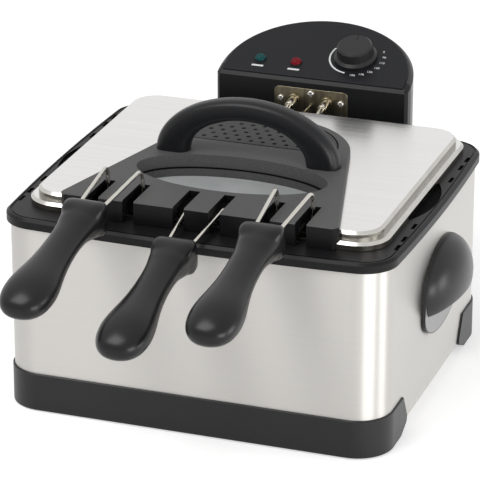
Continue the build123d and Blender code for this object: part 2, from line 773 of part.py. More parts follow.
def under_slope(offset, low):
    """Everything above low and below the sloping top raised by offset along its normal."""
    z_front = head_crease + offset / cos(tilt)
    wedge = Polygon(
        (head_y - 60, low),
        (head_back + 60, low),
        (head_back + 60, z_front + (head_back + 60 - head_y) * tan(tilt)),
        (head_y - 60, z_front - 60 * tan(tilt)),
        align=None,
    )
    return extrude(Plane.YZ * wedge, amount=2 * head_half, both=True)


case = Pos(0, 0, head_z0) * extrude(d_plan(0, head_y), amount=260) & under_slope(0, head_z0)
case = chamfer(case.edges().filter_by(Axis.Z).group_by(Axis.Y)[0], 3)
top_face = case.faces().sort_by(Axis.Z)[-1]
case = chamfer(top_face.edges(), head_bevel)
cavity = Pos(0, 0, head_z0 - 1) * extrude(d_plan(head_wall, head_y + head_wall), amount=260)
case -= cavity & under_slope(-head_wall, head_z0 - 1)

knob_at = crease + panel_up * knob_run + Vector(knob_x, 0, 0)
green_at = crease + panel_up * lamp_run + Vector(lamp_green_x, 0, 0)
red_at = crease + panel_up * lamp_run + Vector(lamp_red_x, 0, 0)


def panel_plane(at, raise_by=0.0):
    return Plane(origin=at + panel_normal * raise_by, x_dir=(1, 0, 0), z_dir=panel_normal)


def panel_pin(at, r, low, high):
    return panel_plane(at, low).location * Pos(0, 0, (high - low) / 2) * Cylinder(r, high - low)


def panel_hole(at, r, low, high):
    return panel_plane(at, low).location * extrude(RegularPolygon(r, 12, major_radius=False), amount=high - low)


shaft_hole = shaft_r + 1.0
lamp_stem = lamp_r - 1.6
panel = Pos(0, 0, head_z0) * extrude(d_plan(panel_inset, head_y + 2.0), amount=260)
panel = (panel & under_slope(panel_t, head_z0)) - under_slope(0, head_z0)
for at, r in ((knob_at, shaft_hole), (green_at, lamp_stem + fit), (red_at, lamp_stem + fit)):
    case -= panel_hole(at, r, -12, 8)
    panel -= panel_hole(at, r, -12, 8)
save(panel, "panel_plate")

recess_play = 0.3
plate_mid = (plate_z0 + plate_z1) / 2
plate_face = Pos(0, plate_mid) * RectangleRounded(2 * plate_half, plate_z1 - plate_z0, 5)
recess_face = Pos(0, plate_mid) * RectangleRounded(
    2 * (plate_half + recess_play), plate_z1 - plate_z0 + 2 * recess_play, 5 + recess_play
)
case -= Pos(0, head_y + plate_t, 0) * extrude(Plane.XZ * recess_face, amount=plate_t + 5)
plate = Pos(0, head_y + plate_t, 0) * extrude(Plane.XZ * plate_face, amount=plate_t)
plate_screws_at = [(-31.0, 204.0), (0.0, 211.5), (31.0, 204.0)]
ferrule_r = 5.2
probe_z = 199.0


def tube_at(y):
    """Height of the sloping tube where it passes the depth y."""
    return tube_z + (y - head_y) * (tube_z - tube_drop_z) / (head_y - tube_drop_y)


def y_bar(x, z, y0, y1, r, sides=8):
    return prism((x, y0, z), (x, y1, z), r, sides)


for x in (-tube_x, tube_x):
    case -= y_bar(x, tube_z, head_y - 5, head_y + 10, ferrule_r)
    plate -= y_bar(x, tube_z, head_y - 5, head_y + 10, tube_r + 0.6)
case -= y_bar(0, probe_z, head_y - 5, head_y + 10, probe_r + 1)
plate -= y_bar(0, probe_z, head_y - 5, head_y + 10, probe_r + fit)
for x, z in plate_screws_at:
    case -= screw_hole((x, head_y, z), (0, -1, 0), 10)
    plate -= screw_hole((x, head_y, z), (0, -1, 0), 10)
save(plate, "element_plate")
save(Compound(children=[screw((x, head_y, z), (0, -1, 0), 8, 12) for x, z in plate_screws_at]), "plate_screws")

ferrules = []
tube_end = head_y + 14
for x in (-tube_x, tube_x):
    sleeve = prism((x, head_y + 4, tube_at(head_y + 4)), (x, head_y - 9, tube_at(head_y - 9)), ferrule_r, 12)
    sleeve -= prism((x, tube_end, tube_at(tube_end)), (x, head_y - 30, tube_at(head_y - 30)), tube_r + fit)
    ferrules.append(sleeve & box(-99, 99, 0, head_y, 0, 400))
save(Compound(children=ferrules), "element_ferrules")

half_loop = [
    (tube_x, tube_end, tube_at(tube_end)),
    (tube_x, tube_drop_y, tube_drop_z),
    (tube_x, tube_drop_y, tube_low),
    (tube_x, element_rear, tube_low),
    (element_half, element_rear, tube_low),
    (element_half, element_front, tube_low),
]
loop = half_loop + [(-x, y, z) for x, y, z in reversed(half_loop)]
save(wire(loop, tube_bend, tube_r, 6), "heating_element")

probe = wire(
    [
        (0, head_y + 14, probe_z),
        (0, tube_drop_y, probe_z),
        (0, tube_drop_y, tube_low + 10),
        (0, element_rear + 26, tube_low + 10),
    ],
    8,
    probe_r,
    6,
)
probe += y_bar(0, tube_low + 10, element_rear - 34, element_rear + 27, bulb_r)
probe += box(-tube_x - 2, tube_x + 2, element_rear + 10, element_rear + 16, tube_low + tube_r + 0.05, tube_low + 12)
save(probe, "thermostat_probe")

for sx in (-1, 1):
    tongue = t_slot(0, tongue_low, rail_z1 - 4, head_y + 1)
    case += Pos(sx * rail_x, 0, 0) * tongue

inlet_y = head_back - 9.0
inlet_box = box(-inlet_w / 2, inlet_w / 2, inlet_y, head_back + 3, inlet_z - inlet_h / 2, inlet_z + inlet_h / 2)
inlet_hole = box(
    -inlet_w / 2 - fit, inlet_w / 2 + fit, inlet_y, head_back + 9, inlet_z - inlet_h / 2 - fit, inlet_z + inlet_h / 2 + fit
)
case -= inlet_hole
inlet_box = chamfer(inlet_box.edges().filter_by(Axis.Y), 3)
inlet_box -= box(-11, 11, head_back - 4, head_back + 9, inlet_z - 6, inlet_z + 6)
for x in (-5.5, 5.5):
    inlet_box += y_bar(x, inlet_z, head_back - 6, head_back + 1.5, 2.2)
save(inlet_box, "power_inlet")

base_plan = d_plan(head_wall + fit, head_y + head_wall + fit)
head_base = Pos(0, 0, head_z0) * extrude(base_plan, amount=head_wall)
base_posts = [(-78.0, head_y + 22), (78.0, head_y + 22), (0.0, head_back - 16)]
head_screws = []
for x, y in base_posts:
    post = prism((x, y, head_z0 + head_wall), (x, y, head_z0 + head_wall + 24), 4.5)
    head_base -= screw_hole((x, y, head_z0), (0, 0, -1), 12)
    tie = box(x - 1.5, x + 1.5, y, y + 30, head_z0 + head_wall, head_z0 + head_wall + 24)
    if x:
        tie = box(min(x, x * 1.4), max(x, x * 1.4), y - 1.5, y + 1.5, head_z0 + head_wall, head_z0 + head_wall + 24)
    full = Pos(0, 0, head_z0) * extrude(d_plan(1.0, head_y + 1), amount=60)
    case += (post + tie) & full
    case -= screw_hole((x, y, head_z0), (0, 0, -1), 14)
    head_screws.append(screw((x, y, head_z0), (0, 0, -1), 12))
save(head_base, "head_base")
save(Compound(children=head_screws), "head_screws")

joint_gap = 0.1
front_half = box(-rim_w, rim_w, 0, head_part_y - joint_gap / 2, 0, 400)
rear_half = box(-rim_w, rim_w, head_part_y + joint_gap / 2, 500, 0, 400)
save(case & front_half, "head_front")
save(case & rear_half, "head_shell")

for at, name in ((green_at, "lamp_green"), (red_at, "lamp_red")):
    lens = extrude(RegularPolygon(lamp_r, 16), amount=1.6)
    lens += Pos(0, 0, 1.6) * extrude(RegularPolygon(lamp_r, 16), amount=2.4, taper=40)
    stem = Pos(0, 0, -10) * extrude(RegularPolygon(lamp_stem, 12), amount=10.5)
    save(panel_plane(at, panel_t).location * (lens + stem), name)

thermostat = panel_pin(knob_at, 19, -head_wall - 24, -head_wall - 0.02)
thermostat = thermostat + panel_pin(knob_at, shaft_r, -head_wall - 1, panel_t + knob_gap + 9.5)
save(thermostat, "thermostat")

knob_profile = Polygon(
    (0, 0),
    (knob_skirt_r, 0),
    (knob_skirt_r, 2.6),
    (knob_r + 1.2, 5.0),
    (knob_r, knob_h - 1.4),
    (knob_r - 1.4, knob_h),
    (0, knob_h),
    align=None,
)
knob = revolve(Plane.XZ * knob_profile, axis=Axis.Z)
knob -= Pos(0, 0, 5) * Cylinder(shaft_r + shaft_play, 10, align=(Align.CENTER, Align.CENTER, Align.CENTER))
knob -= Pos(0, knob_r - 5, knob_h) * Box(1.4, 8, 1.2)
save(panel_plane(knob_at, panel_t + knob_gap).location * knob, "thermostat_knob")

# Every node is written with the middle of the whole fryer over the origin
boxes = [shape.bounding_box() for shape in nodes.values()]
mid_x = (min(b.min.X for b in boxes) + max(b.max.X for b in boxes)) / 2
mid_y = (min(b.min.Y for b in boxes) + max(b.max.Y for b in boxes)) / 2
for node, shape in nodes.items():
    placed = Pos(-mid_x, -mid_y, 0) * shape
    placed.label = node
    export_step(placed, f"parts/{node}.step")
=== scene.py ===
# %% [markdown]
# This lesson dresses a deep fryer. The rigid parts come from CAD as a fixed frame, in metres,
# with +Z up and +Y to the back of the fryer. We keep that frame and give every part a finish.
# Then we round the edges of the main parts and model anew what CAD draws with few flats or leaves
# out: the arch, the side handles, the grips, the wires, the baskets, the screws and the print.

# %% Load the frame
import json
from math import cos, radians, sin, tan

import bpy
from mathutils import Matrix, Vector

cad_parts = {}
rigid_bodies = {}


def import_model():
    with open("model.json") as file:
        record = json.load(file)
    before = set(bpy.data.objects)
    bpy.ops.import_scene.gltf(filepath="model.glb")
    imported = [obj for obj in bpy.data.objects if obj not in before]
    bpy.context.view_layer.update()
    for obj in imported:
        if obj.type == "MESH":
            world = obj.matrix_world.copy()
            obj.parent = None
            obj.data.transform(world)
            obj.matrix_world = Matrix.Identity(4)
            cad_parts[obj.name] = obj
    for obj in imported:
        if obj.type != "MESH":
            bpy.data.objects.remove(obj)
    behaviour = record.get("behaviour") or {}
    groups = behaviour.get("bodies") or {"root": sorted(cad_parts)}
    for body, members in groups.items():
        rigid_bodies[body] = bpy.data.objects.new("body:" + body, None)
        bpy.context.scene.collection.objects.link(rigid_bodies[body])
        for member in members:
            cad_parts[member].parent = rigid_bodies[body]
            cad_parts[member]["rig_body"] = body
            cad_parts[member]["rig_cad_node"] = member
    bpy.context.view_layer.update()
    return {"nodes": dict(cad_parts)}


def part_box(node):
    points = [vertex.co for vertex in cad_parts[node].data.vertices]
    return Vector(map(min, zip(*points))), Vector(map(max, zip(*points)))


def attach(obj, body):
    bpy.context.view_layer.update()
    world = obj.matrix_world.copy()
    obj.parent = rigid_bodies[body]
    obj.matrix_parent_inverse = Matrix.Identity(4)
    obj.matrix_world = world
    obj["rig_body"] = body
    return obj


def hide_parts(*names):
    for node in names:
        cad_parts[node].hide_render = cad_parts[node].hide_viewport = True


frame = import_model()
nodes = frame["nodes"]
scene = bpy.context.scene

# %% [markdown]
# The CAD frame is centred over its own box, while the fryer is drawn from the middle of its rim.
# The rim is symmetrical, so the middle of its box gives the shift between the two. Everything is in
# millimetres until the last moment, because that is how such a product is drawn.

# %% Measured places
MM = 0.001
rim_low, rim_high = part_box("top_rim")
SHIFT = (rim_low[1] + rim_high[1]) / 2 / MM


def at(x, y, z):
    """A point measured in millimetres from the middle of the rim, in the frame's metres."""
    return Vector((x * MM, (y + SHIFT) * MM, z * MM))


print("rim centre lies at", at(0, 0, 0))

# %% [markdown]
# The camera stands where the photographer stood: far away with a long lens, 19 degrees to the right
# and 22 degrees up. A long lens keeps the edges almost parallel, as in a catalogue picture.

# %% Camera
VIEW_TURN = radians(19.36)
VIEW_DOWN = radians(90 - 22.36)
lens = bpy.data.cameras.new("catalogue_lens")
lens.sensor_width = 36.0
lens.lens = 231.1
camera = bpy.data.objects.new("catalogue_camera", lens)
scene.collection.objects.link(camera)
camera.location = at(885.0, -2542.8, 1235.3)
camera.rotation_euler = (VIEW_DOWN, 0, VIEW_TURN)
scene.camera = camera
print("camera at", tuple(round(v, 3) for v in camera.location))

# %% [markdown]
# Finishes next. A finish is a small graph of nodes: a noise pattern in object coordinates gives the
# bump, and the same noise moves the roughness and the colour a little. Helpers build the three
# links, so that each finish below reads as a recipe.

# %% Helpers for finishes
NOISE_LOW = 0.3
NOISE_HIGH = 0.7


def set_inputs(node, values):
    """Sets inputs of a node by their names."""
    for name, value in values.items():
        node.inputs[name].default_value = value


def new_finish(name, colour, roughness, metallic=0.0):
    """A fresh material with its plain values set on the shader."""
    finish = bpy.data.materials.new(name)
    finish.use_nodes = True
    shader = finish.node_tree.nodes["Principled BSDF"]
    set_inputs(shader, {"Base Color": (*colour, 1.0), "Roughness": roughness, "Metallic": metallic})
    return finish, shader


def grain(finish, scale, stretch=(1.0, 1.0, 1.0), detail=3.0):
    """A noise in object coordinates, drawn out along the axes with a small stretch."""
    tree = finish.node_tree
    place = tree.nodes.new("ShaderNodeTexCoord")
    draw_out = tree.nodes.new("ShaderNodeMapping")
    draw_out.inputs["Scale"].default_value = stretch
    noise = tree.nodes.new("ShaderNodeTexNoise")
    set_inputs(noise, {"Scale": scale, "Detail": detail})
    tree.links.new(place.outputs["Object"], draw_out.inputs["Vector"])
    tree.links.new(draw_out.outputs["Vector"], noise.inputs["Vector"])
    return noise


def add_bump(finish, shader, noise, strength, depth):
    """Lets the noise raise and sink the surface by a depth in metres."""
    bump = finish.node_tree.nodes.new("ShaderNodeBump")
    set_inputs(bump, {"Strength": strength, "Distance": depth})
    finish.node_tree.links.new(noise.outputs["Fac"], bump.inputs["Height"])
    finish.node_tree.links.new(bump.outputs["Normal"], shader.inputs["Normal"])


def vary_roughness(finish, shader, noise, low, high):
    """Lets the noise move the roughness between two values."""
    spread = finish.node_tree.nodes.new("ShaderNodeMapRange")
    set_inputs(spread, {"From Min": NOISE_LOW, "From Max": NOISE_HIGH})
    set_inputs(spread, {"To Min": low, "To Max": high})
    finish.node_tree.links.new(noise.outputs["Fac"], spread.inputs["Value"])
    finish.node_tree.links.new(spread.outputs["Result"], shader.inputs["Roughness"])


def vary_colour(finish, shader, noise, dark, light):
    """Lets the noise move the colour between two shades."""
    ramp = finish.node_tree.nodes.new("ShaderNodeValToRGB")
    ramp.color_ramp.elements[0].position = NOISE_LOW
    ramp.color_ramp.elements[0].color = (*dark, 1.0)
    ramp.color_ramp.elements[1].position = NOISE_HIGH
    ramp.color_ramp.elements[1].color = (*light, 1.0)
    finish.node_tree.links.new(noise.outputs["Fac"], ramp.inputs["Fac"])
    finish.node_tree.links.new(ramp.outputs["Color"], shader.inputs["Base Color"])


print("finish helpers ready")

# %% [markdown]
# Steel. The housing is brushed round its sides, so the noise is drawn out along X and Y and stays
# fine along Z. Such lines spread a highlight up and down, so the shader is anisotropic about Z.
# The lid is brushed from side to side. The upright walls of its steps get a darker steel, a painted
# reflection of the black rim they mirror, and its sloping beads a less dark one, painted shade that
# tones down their highlight. The tank and the plates inside are duller.

# %% Steel finishes


def brushed_steel(name, dark, light, rough, stretch, sheen_up=0.0, wave=0.03):
    """Steel with fine lines, and with highlights drawn upwards where sheen_up is set."""
    finish, shader = new_finish(name, light, rough[0], 1.0)
    if sheen_up:
        set_inputs(shader, {"Anisotropic": sheen_up, "Anisotropic Rotation": 0.25})
        round_z = finish.node_tree.nodes.new("ShaderNodeTangent")
        round_z.direction_type = "RADIAL"
        round_z.axis = "Z"
        finish.node_tree.links.new(round_z.outputs["Tangent"], shader.inputs["Tangent"])
    lines = grain(finish, 1.0, stretch, 4.0)
    add_bump(finish, shader, lines, wave, 0.0001)
    vary_roughness(finish, shader, lines, *rough)
    vary_colour(finish, shader, lines, dark, light)
    return finish


housing_steel = brushed_steel(
    "housing_brushed_steel", (0.512, 0.499, 0.476), (0.535, 0.522, 0.498),
    rough=(0.38, 0.42), stretch=(1.0, 1.0, 700), sheen_up=0.9, wave=0.014,
)
lid_steel = brushed_steel(
    "lid_brushed_steel", (0.725, 0.715, 0.705), (0.77, 0.76, 0.75),
    rough=(0.22, 0.27), stretch=(2, 420, 2), wave=0.012,
)
# Painted reflection: a darker copy of the lid steel for the upright step walls, which mirror the
# black rim.
lid_wall_painted_reflection_steel = brushed_steel(
    "lid_wall_painted_reflection_steel", (0.2, 0.19, 0.165), (0.3, 0.285, 0.25),
    rough=(0.16, 0.22), stretch=(60, 60, 60), wave=0.01,
)
# Painted shade: a less dark copy of the lid steel for the sloping beads, which tones down their
# highlight.
lid_bead_painted_shade_steel = brushed_steel(
    "lid_bead_painted_shade_steel", (0.5, 0.485, 0.455), (0.58, 0.565, 0.535),
    rough=(0.2, 0.26), stretch=(40, 40, 40), wave=0.01,
)
tank_steel = brushed_steel(
    "tank_dull_steel", (0.46, 0.46, 0.45), (0.58, 0.58, 0.57),
    rough=(0.34, 0.5), stretch=(400, 6, 6),
)
plate_steel = brushed_steel(
    "champagne_plate_steel", (0.23, 0.205, 0.145), (0.36, 0.32, 0.23),
    rough=(0.28, 0.4), stretch=(500, 20, 20),
)
print("steel finishes made")

# %% [markdown]
# Bright wire is plated and smooth, with only faint waves. The element's tube has a straw tint from
# heat, its ferrules are bronze, and screws are plain bright zinc.

# %% Bright metal finishes


def plated(name, colour, rough, wave):
    """A smooth metal whose roughness changes in slow waves."""
    finish, shader = new_finish(name, colour, rough, 1.0)
    waves = grain(finish, wave, detail=2.0)
    vary_roughness(finish, shader, waves, rough * 0.7, rough * 1.5)
    add_bump(finish, shader, waves, 0.05, 0.0002)
    return finish


bright_wire = plated("bright_plated_wire", (0.6, 0.58, 0.53), 0.16, 160)
mesh_wire = plated("basket_mesh_wire", (0.62, 0.61, 0.6), 0.24, 220)
screw_zinc = plated("screw_zinc", (0.74, 0.73, 0.7), 0.22, 300)
element_metal = plated("element_tube_metal", (0.6, 0.56, 0.48), 0.13, 120)
ferrule_bronze = plated("ferrule_bronze", (0.3, 0.26, 0.18), 0.24, 200)
print("bright metals made")

# %% [markdown]
# Black plastics. The cover of the lid has a visible spark-eroded grain and is coloured grey for its
# lit top; its sides later get near-black plastic as painted shade. The rim and bands are finer, and
# the grips are satin, with a soft glow at their round ends.

# %% Black plastic finishes


def moulded(name, dark, light, rough, scale, strength, depth=0.0001, shine=0.5):
    """Plastic with a grain of the given scale; the shine is the share of light mirrored."""
    finish, shader = new_finish(name, dark, rough[0])
    shader.inputs["Specular IOR Level"].default_value = shine
    pits = grain(finish, scale, detail=5.0)
    add_bump(finish, shader, pits, strength, depth)
    vary_roughness(finish, shader, pits, *rough)
    vary_colour(finish, shader, pits, dark, light)
    return finish


cover_plastic = moulded(
    "cover_grained_plastic", (0.06, 0.06, 0.06), (0.1, 0.1, 0.099),
    rough=(0.5, 0.62), scale=950, strength=0.3, depth=0.0003, shine=0.18,
)
filter_plastic = moulded(
    "filter_grained_plastic", (0.034, 0.034, 0.034), (0.056, 0.056, 0.055),
    rough=(0.5, 0.62), scale=950, strength=0.25, depth=0.0003, shine=0.16,
)
rim_plastic = moulded(
    "rim_fine_plastic", (0.005, 0.005, 0.0058), (0.008, 0.008, 0.0088),
    rough=(0.36, 0.46), scale=1200, strength=0.2, depth=0.0002, shine=0.16,
)
plate_grey = moulded(
    "handle_plate_grey", (0.2, 0.2, 0.2), (0.26, 0.26, 0.26),
    rough=(0.35, 0.45), scale=700, strength=0.05,
)
# Near black: the lamp rings' own plastic, and painted shade on the cover's sides and in the rim's
# recesses.
black_and_painted_shade_plastic = moulded(
    "black_plastic_and_painted_shade", (0.004, 0.004, 0.0045), (0.007, 0.007, 0.0075),
    rough=(0.34, 0.44), scale=900, strength=0.1, shine=0.16,
)
hood_plastic = moulded(
    "hood_satin_plastic", (0.009, 0.009, 0.0095), (0.014, 0.014, 0.0145),
    rough=(0.3, 0.38), scale=900, strength=0.05, shine=0.36,
)
band_plastic = moulded(
    "band_fine_plastic", (0.006, 0.006, 0.0068), (0.011, 0.011, 0.012),
    rough=(0.34, 0.46), scale=900, strength=0.18, depth=0.0002, shine=0.32,
)
grip_plastic = moulded(
    "grip_satin_plastic", (0.003, 0.003, 0.0033), (0.005, 0.005, 0.0054),
    rough=(0.28, 0.31), scale=700, strength=0.006, shine=0.28,
)
arch_plastic = moulded(
    "arch_satin_plastic", (0.006, 0.0062, 0.0072), (0.009, 0.0093, 0.0105),
    rough=(0.33, 0.38), scale=700, strength=0.02, shine=0.24,
)
head_plastic = moulded(
    "head_fine_plastic", (0.005, 0.0052, 0.006), (0.008, 0.0083, 0.009),
    rough=(0.36, 0.46), scale=900, strength=0.14, depth=0.0002, shine=0.2,
)
shell_plastic = moulded(
    "shell_fine_plastic", (0.006, 0.006, 0.007), (0.01, 0.01, 0.011),
    rough=(0.26, 0.34), scale=900, strength=0.08,
)
panel_film = moulded(
    "panel_film", (0.008, 0.0082, 0.01), (0.012, 0.0123, 0.014),
    rough=(0.34, 0.42), scale=1500, strength=0.06, shine=0.14,
)
knob_plastic = moulded(
    "knob_satin_plastic", (0.008, 0.008, 0.009), (0.014, 0.014, 0.015),
    rough=(0.3, 0.4), scale=900, strength=0.05, shine=0.3,
)
foot_rubber = moulded(
    "foot_rubber", (0.01, 0.01, 0.01), (0.018, 0.018, 0.018),
    rough=(0.7, 0.85), scale=600, strength=0.3, depth=0.0003, shine=0.3,
)
seal_rubber = moulded(
    "seal_rubber", (0.02, 0.02, 0.02), (0.035, 0.035, 0.035),
    rough=(0.6, 0.75), scale=500, strength=0.2, depth=0.0002, shine=0.3,
)
# Near black: the filter pad's felt, and painted shade in the rim's slots and half-moon and on the
# line round the window's well.
filter_felt = moulded(
    "filter_felt", (0.002, 0.002, 0.002), (0.005, 0.005, 0.005),
    rough=(0.85, 0.98), scale=1800, strength=0.8, depth=0.0008, shine=0.05,
)
print("black plastics made")

# %% [markdown]
# The window is pale and a little frosted by fat and steam. The lamps are coloured lenses with a
# weak glow, and the print on the panel is flat off-white ink.

# %% Window, lamp and print finishes
window_pale, shader = new_finish("window_pale_glass", (0.55, 0.57, 0.57), 0.12)
set_inputs(shader, {"Transmission Weight": 0.25, "IOR": 1.5})
smear = grain(window_pale, 18, detail=4.0)
vary_roughness(window_pale, shader, smear, 0.08, 0.22)
vary_colour(window_pale, shader, smear, (0.46, 0.48, 0.48), (0.58, 0.6, 0.6))


def lamp_lens(name, dark, light, glow):
    """A coloured lens with small facets and a weak light of its own."""
    finish, shader = new_finish(name, light, 0.12)
    set_inputs(shader, {"Specular IOR Level": 0.12, "Emission Strength": glow})
    set_inputs(shader, {"Emission Color": (*light, 1.0)})
    facets = grain(finish, 900, detail=1.0)
    add_bump(finish, shader, facets, 0.15, 0.0003)
    vary_colour(finish, shader, facets, dark, light)
    return finish


green_lens = lamp_lens("lamp_green_lens", (0.003, 0.034, 0.036), (0.006, 0.07, 0.072), 0.02)
red_lens = lamp_lens("lamp_red_lens", (0.09, 0.0012, 0.005), (0.2, 0.002, 0.01), 0.04)
white_ink = moulded(
    "panel_white_ink", (0.6, 0.61, 0.61), (0.74, 0.75, 0.75),
    rough=(0.5, 0.6), scale=2500, strength=0.1,
)
print("window, lamps and ink made")

# %% [markdown]
# Every CAD node gets its finish first, so that nothing is left grey, also the pieces that only show
# when the fryer is taken apart.

# %% Finishes on the CAD nodes
node_finish = {
    "outer_housing": housing_steel,
    "lid_shell": lid_steel,
    "oil_tank": tank_steel,
    "bottom_plate": tank_steel,
    "element_plate": plate_steel,
    "element_ferrules": ferrule_bronze,
    "heating_element": element_metal,
    "thermostat_probe": element_metal,
    "thermostat": screw_zinc,
    "lid_cover": cover_plastic,
    "filter_cover": filter_plastic,
    "lid_handle": arch_plastic,
    "top_rim": rim_plastic,
    "front_foot_band": band_plastic,
    "rear_foot_band": band_plastic,
    "side_handle_left": hood_plastic,
    "side_handle_right": hood_plastic,
    "head_rails": rim_plastic,
    "head_front": head_plastic,
    "head_shell": shell_plastic,
    "head_base": head_plastic,
    "power_inlet": head_plastic,
    "panel_plate": panel_film,
    "thermostat_knob": knob_plastic,
    "rubber_feet": foot_rubber,
    "window_seal": seal_rubber,
    "filter_pad": filter_felt,
    "window_pane": window_pale,
    "lamp_green": green_lens,
    "lamp_red": red_lens,
}
for name, part in nodes.items():
    finish = node_finish.get(name)
    if finish is None and "screw" in name:
        finish = screw_zinc
    elif finish is None:
        finish = grip_plastic if "grip" in name else bright_wire
    part.data.materials.clear()
    part.data.materials.append(finish)
print("finished CAD nodes:", len(nodes))

# %% [markdown]
# The same few moves come back in every piece, so they are written once: choose an object, edit its
# mesh, pick some faces, settle its place, add a bevel or a cut.

# %% Helpers for modelling


def only(piece):
    """Selects one object and makes it active."""
    if bpy.context.object and bpy.context.object.mode != "OBJECT":
        bpy.ops.object.mode_set(mode="OBJECT")
    bpy.ops.object.select_all(action="DESELECT")
    piece.select_set(True)
    bpy.context.view_layer.objects.active = piece


def edit_all(piece):
    """Opens a piece for editing with its whole mesh selected."""
    only(piece)
    bpy.ops.object.mode_set(mode="EDIT")
    bpy.ops.mesh.select_all(action="SELECT")


def pick(piece, kind, test):
    """Opens a piece for editing with only the faces or vertices selected that pass a test."""
    only(piece)
    bpy.ops.object.mode_set(mode="EDIT")
    bpy.ops.mesh.select_mode(type=kind)
    bpy.ops.mesh.select_all(action="DESELECT")
    bpy.ops.object.mode_set(mode="OBJECT")
    for item in piece.data.polygons if kind == "FACE" else piece.data.vertices:
        item.select = test(item)
    bpy.ops.object.mode_set(mode="EDIT")


def close_edit(outward=False):
    """Leaves edit mode, with all faces turned outward if asked."""
    if outward:
        bpy.ops.mesh.select_all(action="SELECT")
        bpy.ops.mesh.normals_make_consistent(inside=False)
    bpy.ops.object.mode_set(mode="OBJECT")


def pull(offset):
    """Extrudes what is selected by an offset in metres."""
    bpy.ops.mesh.extrude_region_move(TRANSFORM_OT_translate={"value": offset})


def settle():
    """Puts the place, turn and scale of the selected object into its mesh, and returns it."""
    bpy.ops.object.transform_apply(location=True, rotation=True, scale=True)
    return bpy.context.object


def block(place, wide, deep, high):
    """A box at a place in metres, with its sizes in millimetres."""
    bpy.ops.mesh.primitive_cube_add(size=1.0, location=place)
    bpy.context.object.scale = (wide * MM, deep * MM, high * MM)
    return settle()


def cylinder(place, radius, length, sides, turn=(0, 0, 0)):
    """A cylinder at a place in metres, with its sizes in millimetres."""
    bpy.ops.mesh.primitive_cylinder_add(
        vertices=sides, radius=radius * MM, depth=length * MM, location=place, rotation=turn
    )
    return settle()


def add_bevel(piece, name, width, steps, angle=30):
    """A Bevel on the edges sharper than an angle in degrees, with its width in millimetres."""
    edge = piece.modifiers.new(name, "BEVEL")
    edge.width = width * MM
    edge.segments = steps
    edge.limit_method = "ANGLE"
    edge.angle_limit = radians(angle)
    return edge


def add_wall(piece, thickness):
    """A Solidify that thickens a skin inward, in millimetres."""
    wall = piece.modifiers.new("wall", "SOLIDIFY")
    wall.thickness = thickness * MM
    wall.offset = -1


def add_cut(piece, tool):
    """A Boolean that takes a tool's shape out of a piece."""
    cut = piece.modifiers.new("cut", "BOOLEAN")
    cut.operation = "DIFFERENCE"
    cut.object = tool


def apply_all(piece):
    only(piece)
    for change in list(piece.modifiers):
        bpy.ops.object.modifier_apply(modifier=change.name)


def cut_away(piece, point, normal, fill=False):
    """Bisects a piece and removes what lies on the normal's side."""
    edit_all(piece)
    bpy.ops.mesh.bisect(plane_co=point, plane_no=normal, use_fill=fill, clear_outer=True)
    close_edit()


def joined(pieces, name):
    """Several meshes as one object."""
    only(pieces[0])
    for piece in pieces[1:]:
        piece.select_set(True)
    bpy.ops.object.join()
    whole = bpy.context.object
    whole.name = name
    return whole


def finish_as(piece, finish, body, angle=40):
    """Gives a new piece its finish, its smooth faces and the body it moves with."""
    piece.data.materials.clear()
    piece.data.materials.append(finish)
    only(piece)
    bpy.ops.object.shade_smooth_by_angle(angle=radians(angle))
    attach(piece, body)


print("modelling helpers ready")

# %% [markdown]
# A plastic moulding has no sharp edge: the mould leaves a small radius, and that radius catches a
# line of light. CAD edges are cut sharp to keep the solids light, so we copy the mesh of each main
# part, join its loose triangles into clean faces, and round the edges with a Bevel modifier.

# %% Helpers for rounded copies


def copy_of(node, name):
    """A free copy of a CAD node with its triangles merged into clean faces."""
    only(nodes[node])
    bpy.ops.object.duplicate()
    piece = bpy.context.object
    bpy.ops.object.parent_clear(type="CLEAR_KEEP_TRANSFORM")
    piece.name = name
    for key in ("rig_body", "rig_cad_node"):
        if key in piece:
            del piece[key]
    edit_all(piece)
    bpy.ops.mesh.remove_doubles(threshold=0.004 * MM)
    bpy.ops.mesh.dissolve_limited(angle_limit=radians(0.4))
    close_edit()
    return piece


def even_light(piece):
    """Weights normals by face area, so that large faces stay evenly lit beside small bevels."""
    weigh = piece.modifiers.new("even_light", "WEIGHTED_NORMAL")
    weigh.mode = "FACE_AREA"
    weigh.weight = 60
    weigh.keep_sharp = True
    apply_all(piece)


def soften(node, name, body, width, steps=2, angle=32, reshape=None):
    """Rounds the edges of a CAD part and lets the copy stand for it."""
    piece = copy_of(node, name)
    if reshape:
        reshape(piece)
    edge = add_bevel(piece, "mould_radius", width, steps, angle)
    edge.miter_outer = "MITER_ARC"
    apply_all(piece)
    bpy.ops.object.shade_smooth_by_angle(angle=radians(40))
    even_light(piece)
    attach(piece, body)
    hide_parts(node)
    print(name, "faces:", len(piece.data.polygons))
    return piece


def paint_shade_on_faces(piece, finish, test):
    """Gives the faces that pass the test another, darker material: painted shade."""
    piece.data.materials.append(finish)
    slot = len(piece.data.materials) - 1
    for face in piece.data.polygons:
        if test(face):
            face.material_index = slot


print("rounding helpers ready")

# %% [markdown]
# The rim needs more than a radius. CAD gives it short vents, and the photograph shows long slots, a
# half-moon for the fingers and a groove close to the edge. So the vents are closed, the groove is
# scaled outward, and one tool cuts the right side. That side is then mirrored to the left.

# %% Slots of the rim
VENT_X = 177.5
VENT_YS = (68.0, 96.0, 120.0)
VENT_HALF_LONG = 4.2
VENT_HALF_WIDE = 1.7
VENT_DEEP = 1.5
SLOT_X = 180.5
SLOT_YS = (-117.0, -96.3, -64.3, 58.1, 92.0, 114.0)
SLOT_WIDE = 3.4
SLOT_LONG = 13.0
SLOT_DEEP = 2.0
SLOT_SKIN = 0.45
MOON_X = 184.3
MOON_Y = -2.5
MOON_R = 105.0
MOON_IN = 171.0
POCKET_X = 175.5
GROOVE_DEEP = 0.8
GROOVE_WAS = 6.0
GROOVE_IN = 3.9
SLACK = 0.1


